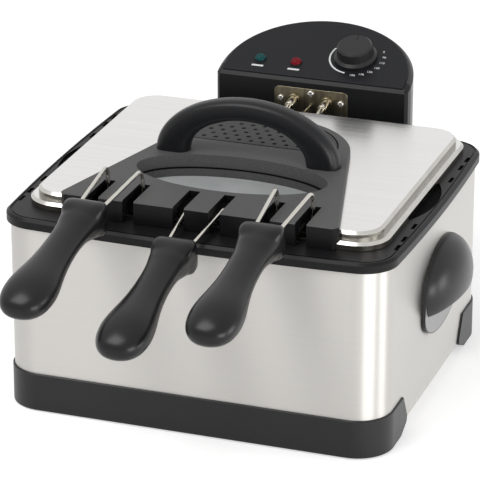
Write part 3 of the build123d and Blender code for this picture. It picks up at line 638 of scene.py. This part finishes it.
def close_vents(rim):
    """Deletes the faces of the short vents and fills the openings."""

    def in_vent(face):
        x = abs(face.center.x) / MM
        y = abs(face.center.y / MM - SHIFT)
        down = (rim_high[2] - face.center.z) / MM
        near = any(abs(y - vent_y) < VENT_HALF_LONG for vent_y in VENT_YS)
        return near and abs(x - VENT_X) < VENT_HALF_WIDE and SLACK < down < VENT_DEEP

    pick(rim, "FACE", in_vent)
    bpy.ops.mesh.delete(type="FACE")
    bpy.ops.mesh.select_mode(type="VERT")
    bpy.ops.mesh.select_non_manifold(extend=False)
    bpy.ops.mesh.fill_holes(sides=0)
    close_edit()


def move_groove(rim):
    """Scales the groove outward, from its old distance to the edge to the new one."""

    def on_floor(face):
        down = rim_high[2] - face.center.z
        return face.normal.z > 0.9 and abs(down - GROOVE_DEEP * MM) < SLACK / 2 * MM

    pick(rim, "FACE", on_floor)
    bpy.ops.mesh.select_more()
    halves = [(high - low) / 2 / MM for low, high in zip(rim_low, rim_high)]
    spread = [(half - GROOVE_IN) / (half - GROOVE_WAS) for half in halves[:2]]
    bpy.ops.transform.resize(value=(*spread, 1), center_override=at(0, 0, 0))
    close_edit()


def rim_tool():
    """The half-moon and the slots of the right side as one mesh."""
    top = rim_high[2] / MM
    moon = cylinder(at(MOON_X - MOON_R, MOON_Y, top), MOON_R, 2 * SLOT_DEEP, 192)
    cut_away(moon, at(MOON_IN, 0, 0), (-1, 0, 0), True)
    slots = [block(at(SLOT_X, y, top), SLOT_WIDE, SLOT_LONG, 2 * SLOT_DEEP) for y in SLOT_YS]
    return joined([moon, *slots], "rim_tool")


def cut_rim_slots(rim):
    """Reshapes the rim's right side and mirrors it to the left."""
    close_vents(rim)
    move_groove(rim)
    tool = rim_tool()
    add_cut(rim, tool)
    apply_all(rim)
    bpy.data.objects.remove(tool)
    cut_away(rim, at(0, 0, 0), (-1, 0, 0))
    twin = rim.modifiers.new("left_side", "MIRROR")
    twin.merge_threshold = 0.01 * MM
    apply_all(rim)
    print("rim slots cut:", 2 * len(SLOT_YS))


def in_slot(face):
    """True for a face inside one of the rim's slots or finger recesses."""
    x = abs(face.center.x) / MM
    y = face.center.y / MM - SHIFT
    deep = face.center.z < rim_high[2] - SLOT_SKIN * MM
    beside = abs(x - SLOT_X) < SLOT_WIDE / 2 + SLACK
    slotted = beside and any(abs(y - slot_y) < SLOT_LONG / 2 + SLACK for slot_y in SLOT_YS)
    from_moon = (x - MOON_X + MOON_R) ** 2 + (y - MOON_Y) ** 2
    hollow = x > POCKET_X and from_moon < (MOON_R + SLACK) ** 2
    return deep and (slotted or hollow)


print("rim tools ready")

# %% [markdown]
# Now the copies themselves. Some faces get a darker material as painted shade: the lid's walls, as
# a painted reflection of the black rim, and its beads, the sides of the cover, and the depths of
# the rim. The filter cover shrinks a little, so that a dark line shows round it.

# %% Rounded copies of the main mouldings
WELL_A = 92.0
WELL_B = 44.0
WELL_Y = -48.0
WELL_EDGE = 3.0
FILTER_FIT = (0.983, 0.975, 1)
RECESS_DEEP = 1.2
WALL_TILT = 0.35
BEAD_TILT = 0.97


def in_well(point):
    """True for a point in the window's oval well."""
    away = (point - at(0, WELL_Y, 0)) / MM
    return (away.x / (WELL_A + WELL_EDGE)) ** 2 + (away.y / (WELL_B + WELL_EDGE)) ** 2 < 1


rolled_lid = soften("lid_shell", "rolled_lid", "lid", 1.1, 3, 30)
# Painted reflection: the lid's upright step walls get the darker steel of the black rim they
# mirror.
paint_shade_on_faces(rolled_lid, lid_wall_painted_reflection_steel, lambda face: abs(face.normal.z) < WALL_TILT)
# Painted shade: the sloping beads get the less dark steel, which tones down their highlight.
paint_shade_on_faces(rolled_lid, lid_bead_painted_shade_steel, lambda face: WALL_TILT <= abs(face.normal.z) < BEAD_TILT)

moulded_cover = soften("lid_cover", "moulded_cover", "lid", 0.6, 2, 40)
# Painted shade: the cover's sides and front get the near-black plastic, while its lit top keeps the
# grey.
paint_shade_on_faces(
    moulded_cover, black_and_painted_shade_plastic, lambda face: face.normal.z < 0.6 and not in_well(face.center)
)

moulded_filter = soften("filter_cover", "moulded_filter", "lid", 0.4, 2, 50)
filter_middle = [(low + high) / 2 for low, high in zip(*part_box("filter_cover"))]
edit_all(moulded_filter)
bpy.ops.transform.resize(value=FILTER_FIT, center_override=filter_middle)
close_edit()

moulded_rim = soften("top_rim", "moulded_rim", "base", 0.4, 2, 32, cut_rim_slots)
recess_z = rim_high[2] - RECESS_DEEP * MM
# Painted shade: the floors of the rim's recesses, under the lid's edge, get the near-black plastic.
paint_shade_on_faces(
    moulded_rim, black_and_painted_shade_plastic, lambda face: face.normal.z > 0.95 and face.center.z < recess_z
)
# Painted shade: the faces deep in the slots and the half-moon get the near-black felt.
paint_shade_on_faces(moulded_rim, filter_felt, in_slot)

soften("front_foot_band", "moulded_front_band", "base", 0.5, 2, 40)
soften("rear_foot_band", "moulded_rear_band", "base", 0.5, 2, 40)
soften("head_front", "moulded_head_front", "control_head", 0.6)
soften("head_shell", "moulded_head_shell", "control_head", 0.6)
soften("panel_plate", "rounded_panel", "control_head", 0.5, 2, 40)
soften("element_plate", "rounded_element_plate", "control_head", 0.3, 2, 40)
soften("thermostat_knob", "rounded_knob", "knob", 0.6, 3, 30)
soften("lamp_green", "green_lens_dome", "control_head", 1.2, 3, 30)
soften("lamp_red", "red_lens_dome", "control_head", 1.2, 3, 30)

# %% [markdown]
# The arch handle is thick and soft to the hand. One rounded rectangle is the section of its foot.
# Spin carries it over half a turn from foot to foot, and a scale along Z turns the round arch into
# a flat one.

# %% Arch handle
COVER_TOP = 212.0
ARCH_OUT = 90.0
ARCH_IN = 58.0
ARCH_RISE = 56.95
ARCH_Y = -1.0
ARCH_T = 22.0
ARCH_ROUND = 9.0
arch_foot = at((ARCH_OUT + ARCH_IN) / 2, ARCH_Y, COVER_TOP)
arch_middle = at(0, ARCH_Y, COVER_TOP)
bpy.ops.mesh.primitive_plane_add(size=1.0, location=arch_foot)
bpy.context.object.scale = ((ARCH_OUT - ARCH_IN) * MM, ARCH_T * MM, 1)
arch = settle()
arch.name = "rounded_arch"
edit_all(arch)
bpy.ops.mesh.bevel(offset=ARCH_ROUND * MM, segments=6, affect="VERTICES")
bpy.ops.mesh.select_all(action="SELECT")
bpy.ops.mesh.spin(steps=48, angle=radians(180), center=arch_middle, axis=(0, 1, 0))
bpy.ops.mesh.select_all(action="SELECT")
bpy.ops.transform.resize(value=(1, 1, ARCH_RISE / ARCH_OUT), center_override=arch_middle)
close_edit(outward=True)
arch.data.materials.append(arch_plastic)
bpy.ops.object.shade_smooth_by_angle(angle=radians(40))
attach(arch, "lid")
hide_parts("lid_handle")
heights = [v.co.z / MM for v in arch.data.vertices]
print("arch from", round(min(heights), 1), "to", round(max(heights), 1), "mm")

# %% [markdown]
# A thin near-black ring lies on the ledge of the window's well: painted shade of the gap there,
# read as a dark line round the oval.

# %% Painted shade ring in the well
WELL_LEDGE = 198.5
SHADE_RING_R = 0.75
SHADE_RING_INSET = 1.1
THIN_RING = 0.02
bpy.ops.mesh.primitive_torus_add(
    major_segments=96, minor_segments=8, major_radius=1.0, minor_radius=THIN_RING
)
painted_shade_ring = bpy.context.object
painted_shade_ring.name = "well_painted_shade_ring"
shade_ring_size = (WELL_A - SHADE_RING_INSET, WELL_B - SHADE_RING_INSET, SHADE_RING_R / THIN_RING)
edit_all(painted_shade_ring)
bpy.ops.transform.resize(value=[size * MM for size in shade_ring_size])
bpy.ops.transform.translate(value=at(0, WELL_Y, WELL_LEDGE + SHADE_RING_R))
close_edit()
painted_shade_ring.data.materials.append(filter_felt)
bpy.ops.object.shade_smooth()
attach(painted_shade_ring, "lid")
print("gasket laid on the ledge")

# %% [markdown]
# A side handle is an oval plate on the wall with a hood over it. The plate is a circle whose upper
# and lower halves are squashed differently. The hood starts as a ball, squashed into an egg that
# lies against the wall. Two bisections leave only the part outside the wall and above the sloping
# lip, and Solidify gives it a wall, so that fingers fit under it.

# %% Side handles
WALL_X = 183.1
GRASP_Y = 19.0
GRASP_Z = 108.8
GRASP_HALF = 58.4
GRASP_RISE = 39.0
GRASP_OUT = 27.9
GRASP_PLATE = 3.0
GRASP_BORDER = 1.0
GRASP_LOW_Z = 88.0
GRASP_DROP = 28.0
GRASP_LIP = 86.0
GRASP_LIP_SLOPE = radians(27.0)
HOOD_WALL = 3.6
HOOD_SINK = 0.4


def grasp_plate(sign):
    """The oval plate on the wall, thickened and inset for its grey face."""
    centre = at(sign * WALL_X, GRASP_Y, (GRASP_Z + GRASP_LOW_Z) / 2)
    bpy.ops.mesh.primitive_circle_add(
        vertices=96,
        radius=GRASP_HALF * MM,
        fill_type="NGON",
        location=centre,
        rotation=(0, radians(90), 0),
    )
    plate = settle()
    for half, tall in ((1, GRASP_RISE), (-1, GRASP_DROP)):
        pick(plate, "VERT", lambda corner: (corner.co.z - centre.z) * half > 0.1 * MM)
        bpy.ops.transform.resize(value=(1, 1, tall / GRASP_HALF), center_override=centre)
        bpy.ops.transform.translate(value=(0, 0, half * (GRASP_Z - GRASP_LOW_Z) / 2 * MM))
        close_edit()
    edit_all(plate)
    pull((sign * GRASP_PLATE * MM, 0, 0))
    bpy.ops.mesh.inset(thickness=GRASP_BORDER * MM)
    close_edit()
    plate.data.materials.append(hood_plastic)
    plate.data.materials.append(plate_grey)
    for face in plate.data.polygons:
        face.material_index = 1 if face.select else 0
    edit_all(plate)
    close_edit(outward=True)
    return plate


def side_handle(side, sign):
    """Plate and hood of one side."""
    plate = grasp_plate(sign)
    bpy.ops.mesh.primitive_uv_sphere_add(segments=72, ring_count=36, radius=1.0)
    hood = bpy.context.object
    hood.scale = (GRASP_OUT * MM, GRASP_HALF * MM, GRASP_RISE * MM)
    hood.location = at(sign * WALL_X, GRASP_Y, GRASP_Z)
    settle()
    under_lip = (sign * sin(GRASP_LIP_SLOPE), 0, -cos(GRASP_LIP_SLOPE))
    cut_away(hood, at(sign * (WALL_X + GRASP_PLATE - HOOD_SINK), 0, 0), (-sign, 0, 0))
    cut_away(hood, at(sign * WALL_X, 0, GRASP_LIP), under_lip)
    add_wall(hood, HOOD_WALL)
    add_bevel(hood, "lip_radius", 1.2, 3, 50)
    apply_all(hood)
    edit_all(hood)
    bpy.ops.mesh.dissolve_degenerate(threshold=0.005 * MM)
    close_edit()
    hood.data.materials.append(hood_plastic)
    whole = joined([plate, hood], f"smooth_side_handle_{side}")
    bpy.ops.object.shade_smooth_by_angle(angle=radians(40))
    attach(whole, "base")
    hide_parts(f"side_handle_{side}")
    return whole


for side, sign in (("right", 1), ("left", -1)):
    whole = side_handle(side, sign)
print("side handles modelled, faces each:", len(whole.data.polygons))

# %% [markdown]
# Each lamp sits in a small black ring on the sloping panel. A matrix with the panel's own axes puts
# the rings there, and later the print.

# %% Lamp rings
PANEL_TILT = radians(20.0)
PANEL_T = 1.5
CREASE_Y = 187.0
CREASE_Z = 225.0
LAMP_RUN = 23.5
RING_R = 5.7
RING_THICK = 0.8
RING_RISE = 0.2


def on_panel(x, run, rise=0.0):
    """A matrix at x across and run up the slope, with Z away from the panel."""
    up = Vector((0, cos(PANEL_TILT), sin(PANEL_TILT)))
    out = Vector((0, -sin(PANEL_TILT), cos(PANEL_TILT)))
    place = Matrix((Vector((1, 0, 0)), up, out)).transposed().to_4x4()
    place.translation = at(x, CREASE_Y, CREASE_Z) + (up * run + out * (PANEL_T + rise)) * MM
    return place


for colour in ("green", "red"):
    low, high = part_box(f"lamp_{colour}")
    lamp_x = (low[0] + high[0]) / 2 / MM
    bpy.ops.mesh.primitive_torus_add(
        major_segments=40, minor_segments=10, major_radius=RING_R * MM, minor_radius=RING_THICK * MM
    )
    ring = bpy.context.object
    ring.name = f"lamp_ring_{colour}"
    ring.matrix_world = on_panel(lamp_x, LAMP_RUN, RING_RISE)
    settle()
    ring.data.materials.append(black_and_painted_shade_plastic)
    bpy.ops.object.shade_smooth()
    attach(ring, "control_head")
print("lamp rings laid")

# %% [markdown]
# A grip is modelled from a plane, as by hand: the square face at the head is extruded along the
# axis from stop to stop and scaled at each one, and a Subdivision Surface rounds it. Creased edges
# keep the head square, because there a finger guard reaches down. The two halves are cut apart at
# the parting line.

# %% Grips
SIDES = (("left", -1), ("centre", 0), ("right", 1))
GRIP_Y = -190.0
GRIP_LEVEL = 195.5
GRIP_SLOPE = radians(13.4)
GRIP_PART = 4.0
SIDE_LIFT = 25.0
LEFT_YAW = radians(1.7)
WIRE_Y = -107.55
PITCH = 81.5
# The cage is drawn larger by this share, because the Subdivision Surface pulls it in.
ROUND_IN = 0.917
# Distance along the grip, width, height above the axis and height below it.
GRIP_STOPS = [
    (0.0, 33.0, 8.5, 12.0),
    (5.0, 37.0, 11.0, 17.0),
    (20.0, 37.0, 11.5, 18.5),
    (36.0, 32.5, 11.5, 12.0),
    (62.0, 30.5, 11.0, 9.5),
    (95.0, 35.5, 12.5, 11.5),
    (124.0, 50.0, 16.0, 16.0),
    (146.0, 46.5, 14.0, 15.0),
    (158.0, 33.0, 9.0, 10.5),
    (162.0, 13.0, 3.0, 5.0),
]
# Distance along the grip up to which edges are creased: those along it, and those across it.
GRIP_CREASES = [(1.0, 0.55, 0.55), (21.0, 0.45, 0.0), (37.0, 0.2, 0.0)]


def yaw_of(side):
    """The left handle is turned out a little."""
    return LEFT_YAW if side == "left" else 0.0


def grip_frame(x, lift, yaw):
    """Place of a grip's head: X across, Y up and Z along the grip."""
    flat = cos(GRIP_SLOPE)
    along = Vector((-flat * sin(yaw), -flat * cos(yaw), -sin(GRIP_SLOPE)))
    across = Vector((cos(yaw), -sin(yaw), 0))
    place = Matrix((across, along.cross(across), along)).transposed().to_4x4()
    place.translation = at(x + (GRIP_Y - WIRE_Y) * tan(yaw), GRIP_Y, GRIP_LEVEL + lift)
    return place


def crease_head(cage):
    """Keeps the edges of the head square, less and less along the grip."""
    square = cage.data.attributes.new("crease_edge", "FLOAT", "EDGE")
    for edge in cage.data.edges:
        ends = [cage.data.vertices[v].co.z / MM for v in edge.vertices]
        lengthwise = abs(ends[0] - ends[1]) > 1
        for reach, along, across in GRIP_CREASES:
            if max(ends) < reach:
                square.data[edge.index].value = along if lengthwise else across
                break


def grip_cage():
    """The rough grip in its own axes, in metres, rounded by a Subdivision Surface."""
    bpy.ops.mesh.primitive_plane_add(size=1.0)
    cage = bpy.context.object
    cage.name = "grip_cage"
    _, wide, above, below = GRIP_STOPS[0]
    first = (wide * MM / ROUND_IN, (above + below) * MM / ROUND_IN, 1)
    edit_all(cage)
    bpy.ops.transform.resize(value=first)
    bpy.ops.transform.translate(value=(0, (above - below) / 2 * MM, 0))
    for last, here in zip(GRIP_STOPS, GRIP_STOPS[1:]):
        lift = ((here[2] - here[3]) - (last[2] - last[3])) / 2
        pull((0, lift * MM, (here[0] - last[0]) * MM))
        growth = (here[1] / last[1], (here[2] + here[3]) / (last[2] + last[3]), 1)
        bpy.ops.transform.resize(value=growth)
    close_edit(outward=True)
    crease_head(cage)
    rounding = cage.modifiers.new("rounding", "SUBSURF")
    rounding.levels = 3
    rounding.render_levels = 3
    apply_all(cage)
    return cage


def cut_half(cage, name, upper):
    """One half of the grip, with the parting edge a little rounded."""
    only(cage)
    bpy.ops.object.duplicate()
    half = bpy.context.object
    half.name = name
    edit_all(half)
    bpy.ops.mesh.bisect(
        plane_co=(0, -GRIP_PART * MM, 0),
        plane_no=(0, 1, 0),
        use_fill=True,
        clear_inner=upper,
        clear_outer=not upper,
    )
    close_edit()
    add_bevel(half, "parting_edge", 0.45, 2, 45)
    apply_all(half)
    return half


for side, k in SIDES:
    place = grip_frame(k * PITCH, SIDE_LIFT * abs(k), yaw_of(side))
    cage = grip_cage()
    for part, upper in (("upper", True), ("lower", False)):
        half = cut_half(cage, f"rounded_grip_{side}_{part}", upper)
        half.matrix_world = place
        only(half)
        settle()
        finish_as(half, grip_plastic, f"{side}_basket", 50)
        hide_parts(f"grip_{side}_{part}")
    bpy.data.objects.remove(cage)
print("grips modelled:", len(SIDES))

# %% [markdown]
# Wires are drawn like real wire: a round section pushed straight, turned through a bend with Spin,
# and pushed straight again. The same helper makes the basket's hooks.

# %% Handle wires
WIRE_R = 2.0
WIRE_HALF = 17.0
WIRE_GRIP_HALF = 11.0
WIRE_LOW = 116.0
WIRE_KNEE = 205.5
WIRE_BEND = 9.0
WIRE_IN = 34.0


def bent_wire(name, start, knee, end, bend, radius):
    """A round wire with one bend at the knee. Points are in metres, sizes in millimetres."""
    first = (knee - start).normalized()
    second = (end - knee).normalized()
    angle = first.angle(second)
    back = bend * MM * tan(angle / 2)
    inward = (second - first * second.dot(first)).normalized()
    turn_from = knee - first * back
    bpy.ops.mesh.primitive_circle_add(
        vertices=14,
        radius=radius * MM,
        fill_type="NGON",
        location=start,
        rotation=first.to_track_quat("Z", "Y").to_euler(),
    )
    rod = settle()
    rod.name = name
    edit_all(rod)
    pull(turn_from - start)
    axis = first.cross(second).normalized()
    bpy.ops.mesh.spin(steps=7, angle=-angle, center=turn_from + inward * bend * MM, axis=axis)
    pull(end - (knee + second * back))
    bpy.ops.mesh.select_all(action="SELECT")
    bpy.ops.mesh.remove_doubles(threshold=0.005 * MM)
    close_edit(outward=True)
    return rod


wire_reach = GRIP_Y - WIRE_IN - WIRE_Y
wire_share = wire_reach / (GRIP_Y - WIRE_Y)
wire_half_end = WIRE_HALF + (WIRE_GRIP_HALF - WIRE_HALF) * wire_share
wire_fall = (GRIP_LEVEL - WIRE_KNEE) * wire_share
for side, k in SIDES:
    knee_z = WIRE_KNEE + SIDE_LIFT * abs(k)
    end_x = k * PITCH + wire_reach * tan(yaw_of(side))
    rods = []
    for sign in (-1, 1):
        x = k * PITCH + sign * WIRE_HALF
        low = at(x, WIRE_Y, WIRE_LOW)
        knee = at(x, WIRE_Y, knee_z)
        end = at(end_x + sign * wire_half_end, GRIP_Y - WIRE_IN, knee_z + wire_fall)
        rods.append(bent_wire("handle_wire", low, knee, end, WIRE_BEND, WIRE_R))
    pair = joined(rods, f"round_wires_{side}")
    finish_as(pair, bright_wire, f"{side}_basket", 60)
    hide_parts(f"basket_{side}_wires")
print("wire pairs modelled:", len(SIDES))

# %% [markdown]
# The baskets are woven wire. A grid makes the floor, its border is pulled up row by row for the
# walls, and the Wireframe modifier turns every edge into a thin wire. A band stiffens the rim, and
# four hooks hang the basket on the tank.

# %% Wire baskets
BASKET_W = 76.0
BASKET_L = 208.0
BASKET_LOW = 100.0
BASKET_TOP = 178.0
LIP_OUT = 1.5
BAND_HIGH = 3.5
BAND_WALL = 2.6
HOOK_X = 28.0
HOOK_R = 1.8
HOOK_Z = 188.1
HOOK_DROP = 8.0
HOOK_BEND = 3.0
TANK_Y = 9.0
TANK_REACH = 129.0
MESH_WIRE = 1.3
CELL = 8.6


def woven_walls(x):
    """Floor and walls of a basket as a weave of thin wires."""
    rows = round((BASKET_TOP - BASKET_LOW) / CELL)
    rise = (BASKET_TOP - BASKET_LOW - 2 * MESH_WIRE) / rows
    bpy.ops.mesh.primitive_grid_add(
        x_subdivisions=round(BASKET_W / CELL),
        y_subdivisions=round(BASKET_L / CELL),
        size=1.0,
        location=at(x, 0, BASKET_LOW + MESH_WIRE),
    )
    bpy.context.object.scale = ((BASKET_W - MESH_WIRE) * MM, (BASKET_L - MESH_WIRE) * MM, 1)
    woven = settle()
    edit_all(woven)
    bpy.ops.mesh.region_to_loop()
    for _ in range(rows):
        pull((0, 0, rise * MM))
    close_edit()
    weave = woven.modifiers.new("weave", "WIREFRAME")
    weave.thickness = MESH_WIRE * MM
    weave.use_even_offset = False
    apply_all(woven)
    edit_all(woven)
    close_edit(outward=True)
    return woven


def basket_band(x):
    """The flat band round the top: a box without top and bottom, thickened inward."""
    middle = at(x, 0, BASKET_TOP - BAND_HIGH / 2)
    band = block(middle, BASKET_W + 2 * LIP_OUT, BASKET_L + 2 * LIP_OUT, BAND_HIGH)
    pick(band, "FACE", lambda face: abs(face.normal.z) > 0.5)
    bpy.ops.mesh.delete(type="ONLY_FACE")
    close_edit()
    add_wall(band, BAND_WALL)
    add_bevel(band, "edge", 0.9, 2)
    apply_all(band)
    return band


def basket_hook(x, end):
    """A wire that rises from the basket's end and rests on the tank's rim."""
    y = end * (BASKET_L / 2 + 0.6 * HOOK_R)
    low = at(x, y, BASKET_TOP - HOOK_DROP)
    tip = at(x, TANK_Y + end * TANK_REACH, HOOK_Z)
    return bent_wire("hook", low, at(x, y, HOOK_Z), tip, HOOK_BEND, HOOK_R)


def wire_basket(side, x):
    pieces = [woven_walls(x), basket_band(x)]
    for hook_x in (x - HOOK_X, x + HOOK_X):
        pieces += [basket_hook(hook_x, end) for end in (-1, 1)]
    basket = joined(pieces, f"woven_basket_{side}")
    finish_as(basket, mesh_wire, f"{side}_basket", 45)
    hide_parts(f"basket_{side}")
    return basket


for side, k in SIDES:
    basket = wire_basket(side, k * PITCH)
print("baskets woven, faces each:", len(basket.data.polygons))

# %% [markdown]
# The panel carries plain print: an arc on the left of the knob, numbers on its right, and a bar
# under each lamp where words would be. Print is drawn flat, in the panel's own axes, and laid on
# its slope.

# %% Print on the panel
INK = 0.06
KNOB_X = 34.0
KNOB_RUN = 41.5
ARC_R = 26.0
ARC_WIDE = 1.7
ARC_FROM = radians(261)
ARC_SWEEP = radians(106)
MARK_R = 28.5
MARK_SIZE = 3.9
MARK_FROM = 27
MARK_STEP = -18
MARKS = ("0", "90", "110", "130", "150", "170", "190")
BAR_RUN = 12.5
BAR_WIDE = 12.0
BAR_HIGH = 2.4


def lay_print(piece, place):
    """Moves print from the panel's axes to its place on the slope."""
    piece.matrix_world = place @ piece.matrix_world
    only(piece)
    settle()
    finish_as(piece, white_ink, "control_head")


bpy.ops.mesh.primitive_plane_add(
    size=1.0, rotation=(radians(90), 0, 0), location=(ARC_R * MM, 0, INK * MM)
)
bpy.context.object.scale = (ARC_WIDE * MM, INK * MM, 1)
arc = settle()
arc.name = "dial_arc"
edit_all(arc)
bpy.ops.mesh.spin(steps=28, angle=ARC_SWEEP, center=(0, 0, 0), axis=(0, 0, 1))
close_edit(outward=True)
lay_print(arc, on_panel(KNOB_X, KNOB_RUN) @ Matrix.Rotation(ARC_FROM, 4, "Z"))

for i, text in enumerate(MARKS):
    bpy.ops.object.text_add()
    letters = bpy.context.object.data
    letters.body = text
    letters.size = MARK_SIZE * MM
    letters.align_x = "CENTER"
    letters.align_y = "CENTER"
    letters.extrude = INK * MM
    bpy.ops.object.convert(target="MESH")
    mark = bpy.context.object
    mark.name = f"dial_mark_{text}"
    edit_all(mark)
    bpy.ops.mesh.remove_doubles(threshold=0.001 * MM)
    close_edit()
    angle = radians(MARK_FROM + i * MARK_STEP)
    mark_x = KNOB_X + MARK_R * cos(angle)
    lay_print(mark, on_panel(mark_x, KNOB_RUN + MARK_R * sin(angle), INK))

for name, x in (("green", -59.8), ("red", -22.2)):
    bar = block((0, 0, 0), BAR_WIDE, BAR_HIGH, 2 * INK)
    bar.name = f"caption_bar_{name}"
    lay_print(bar, on_panel(x, BAR_RUN, INK))
print("print laid on the panel")

# %% [markdown]
# Three screws hold the element's plate. They are small but sit in plain view, so each head is a
# rounded disc with a cross cut into it by a Boolean.

# %% Screws of the element plate
SCREW_R = 3.2
SCREW_T = 2.2
CROSS_LONG = 3.6
CROSS_WIDE = 0.8
CROSS_DEEP = 1.8
PLATE_SCREWS = [(-31.0, 204.0), (0.0, 211.5), (31.0, 204.0)]
heads = []
for x, z in PLATE_SCREWS:
    head = cylinder(at(x, CREASE_Y - SCREW_T / 2, z), SCREW_R, SCREW_T, 28, (radians(90), 0, 0))
    add_bevel(head, "crown", 1.1, 3)
    crown = at(x, CREASE_Y - SCREW_T, z)
    cutters = [
        block(crown, CROSS_LONG, CROSS_DEEP, CROSS_WIDE),
        block(crown, CROSS_WIDE, CROSS_DEEP, CROSS_LONG),
    ]
    for cutter in cutters:
        add_cut(head, cutter)
    apply_all(head)
    for cutter in cutters:
        bpy.data.objects.remove(cutter)
    heads.append(head)
screws = joined(heads, "cross_head_screws")
finish_as(screws, screw_zinc, "control_head", 35)
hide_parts("plate_screws")
print("plate screws:", len(PLATE_SCREWS))

# %% [markdown]
# Tubes and bent sheet are drawn with flats in CAD. Clean copies with smooth faces look round.

# %% Round tubes and sheet


def round_copy(node, name, body):
    piece = copy_of(node, name)
    bpy.ops.object.shade_smooth_by_angle(angle=radians(62))
    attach(piece, body)
    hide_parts(node)


round_copy("heating_element", "smooth_element", "control_head")
round_copy("thermostat_probe", "smooth_probe", "control_head")
round_copy("outer_housing", "smooth_housing", "base")
round_copy("oil_tank", "smooth_tank", "tank")
print("smooth copies made")

# %% [markdown]
# Where a tube leaves its plate it wears a collar and a thicker sleeve. Each is a cylinder with
# rounded rims, laid along the tube's own slope.

# %% Collars and sleeves of the tubes
TUBE_X = 17.0
TUBE_Z = 205.5
TUBE_FALL = 10.5 / 63.0
# Radius, start and end along the tube, and metal.
TUBE_FITTINGS = [(5.5, 0.2, 4.2, ferrule_bronze), (4.3, 3.5, 18.5, element_metal)]
along_tube = Vector((0, -1, -TUBE_FALL)).normalized()
tube_turn = along_tube.to_track_quat("Z", "Y").to_euler()
fittings = []
for x in (-TUBE_X, TUBE_X):
    for radius, start, end, metal in TUBE_FITTINGS:
        middle = at(x, CREASE_Y, TUBE_Z) + along_tube * (start + end) / 2 * MM
        fitting = cylinder(middle, radius, end - start, 32, tube_turn)
        add_bevel(fitting, "rolled_rim", 0.6, 3)
        apply_all(fitting)
        fitting.data.materials.append(metal)
        fittings.append(fitting)
ferrules = joined(fittings, "smooth_ferrules")
bpy.ops.object.shade_smooth_by_angle(angle=radians(40))
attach(ferrules, "control_head")
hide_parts("element_ferrules")
print("tube fittings:", len(fittings))

# %% [markdown]
# The floor is a wide pale sheet. Seen by the camera, in a reflection or through glass, floor and
# world are lifted to white; for the light on the object they stay plain. On the right the floor is
# brighter in reflections alone, as from a white card, and lifts the housing's right side. Three
# soft lamps light the fryer: a large one high in front on the left, and two on the right that draw
# the bright lines on the corner.

# %% Floor and light
FLOOR_SIZE = 14.0
FLOOR_DROP = 0.0004
FLOOR_LIFT = 0.45
CARD_FROM = 0.17
CARD_FULL = 0.19
CARD_GAIN = 0.55
WORLD_LIGHT = 0.45


def joined_values(tree, operation, first, second):
    """A Math node fed by two sockets."""
    math = tree.nodes.new("ShaderNodeMath")
    math.operation = operation
    tree.links.new(first, math.inputs[0])
    tree.links.new(second, math.inputs[1])
    return math


def lift_to(tree, low, high, socket):
    """Feeds a socket with the low value for light and the high value for what is seen."""
    path = tree.nodes.new("ShaderNodeLightPath").outputs
    seen = joined_values(tree, "MAXIMUM", path["Is Camera Ray"], path["Is Glossy Ray"])
    seen = joined_values(tree, "MAXIMUM", seen.outputs[0], path["Is Transmission Ray"])
    level = tree.nodes.new("ShaderNodeMapRange")
    set_inputs(level, {"To Min": low, "To Max": high})
    tree.links.new(seen.outputs[0], level.inputs["Value"])
    tree.links.new(level.outputs["Result"], socket)


def add_card(tree, socket):
    """Feeds a socket with 1, and with more where a reflection meets the floor on the right."""
    place = tree.nodes.new("ShaderNodeTexCoord")
    axes = tree.nodes.new("ShaderNodeSeparateXYZ")
    card = tree.nodes.new("ShaderNodeMapRange")
    set_inputs(card, {"From Min": CARD_FROM, "From Max": CARD_FULL, "To Max": CARD_GAIN})
    path = tree.nodes.new("ShaderNodeLightPath").outputs
    tree.links.new(place.outputs["Object"], axes.inputs["Vector"])
    tree.links.new(axes.outputs["X"], card.inputs["Value"])
    total = joined_values(tree, "MULTIPLY_ADD", card.outputs["Result"], path["Is Glossy Ray"])
    total.inputs[2].default_value = 1.0
    tree.links.new(total.outputs["Value"], socket)


bpy.ops.mesh.primitive_plane_add(size=FLOOR_SIZE, location=(0, 0, -FLOOR_DROP))
floor = bpy.context.object
floor.name = "pale_floor"
floor_finish, shader = new_finish("pale_floor_paint", (0.8, 0.8, 0.8), 0.6)
shader.inputs["Specular IOR Level"].default_value = 0.1
vary_roughness(floor_finish, shader, grain(floor_finish, 3.0), 0.55, 0.65)
add_card(floor_finish.node_tree, shader.inputs["Emission Color"])
lift_to(floor_finish.node_tree, 0.0, FLOOR_LIFT, shader.inputs["Emission Strength"])
floor.data.materials.append(floor_finish)

world = bpy.data.worlds.new("white_studio")
scene.world = world
world.use_nodes = True
back = world.node_tree.nodes["Background"]
back.inputs["Color"].default_value = (1, 1, 1, 1)
lift_to(world.node_tree, WORLD_LIGHT, 1.0, back.inputs["Strength"])


def soft_lamp(name, place, target, size, watts):
    """A rectangular area lamp that looks at a target, in metres."""
    light = bpy.data.lights.new(name, "AREA")
    light.shape = "RECTANGLE"
    light.size, light.size_y = size
    light.energy = watts
    lamp = bpy.data.objects.new(name, light)
    scene.collection.objects.link(lamp)
    lamp.location = place
    lamp.rotation_euler = (Vector(target) - Vector(place)).to_track_quat("-Z", "Y").to_euler()


soft_lamp("key_lamp", (-0.75, -1.1, 2.3), (0, 0, 0.15), (1.5, 1.5), 36)
soft_lamp("corner_lamp", (1.65, -1.4, 0.45), (0.15, -0.1, 0.1), (1.3, 0.8), 19)
soft_lamp("side_lamp", (2.05, 0.05, 0.45), (0.15, 0, 0.1), (0.8, 0.8), 11)
scene.view_settings.view_transform = "Standard"
print("floor, world and lamps set")
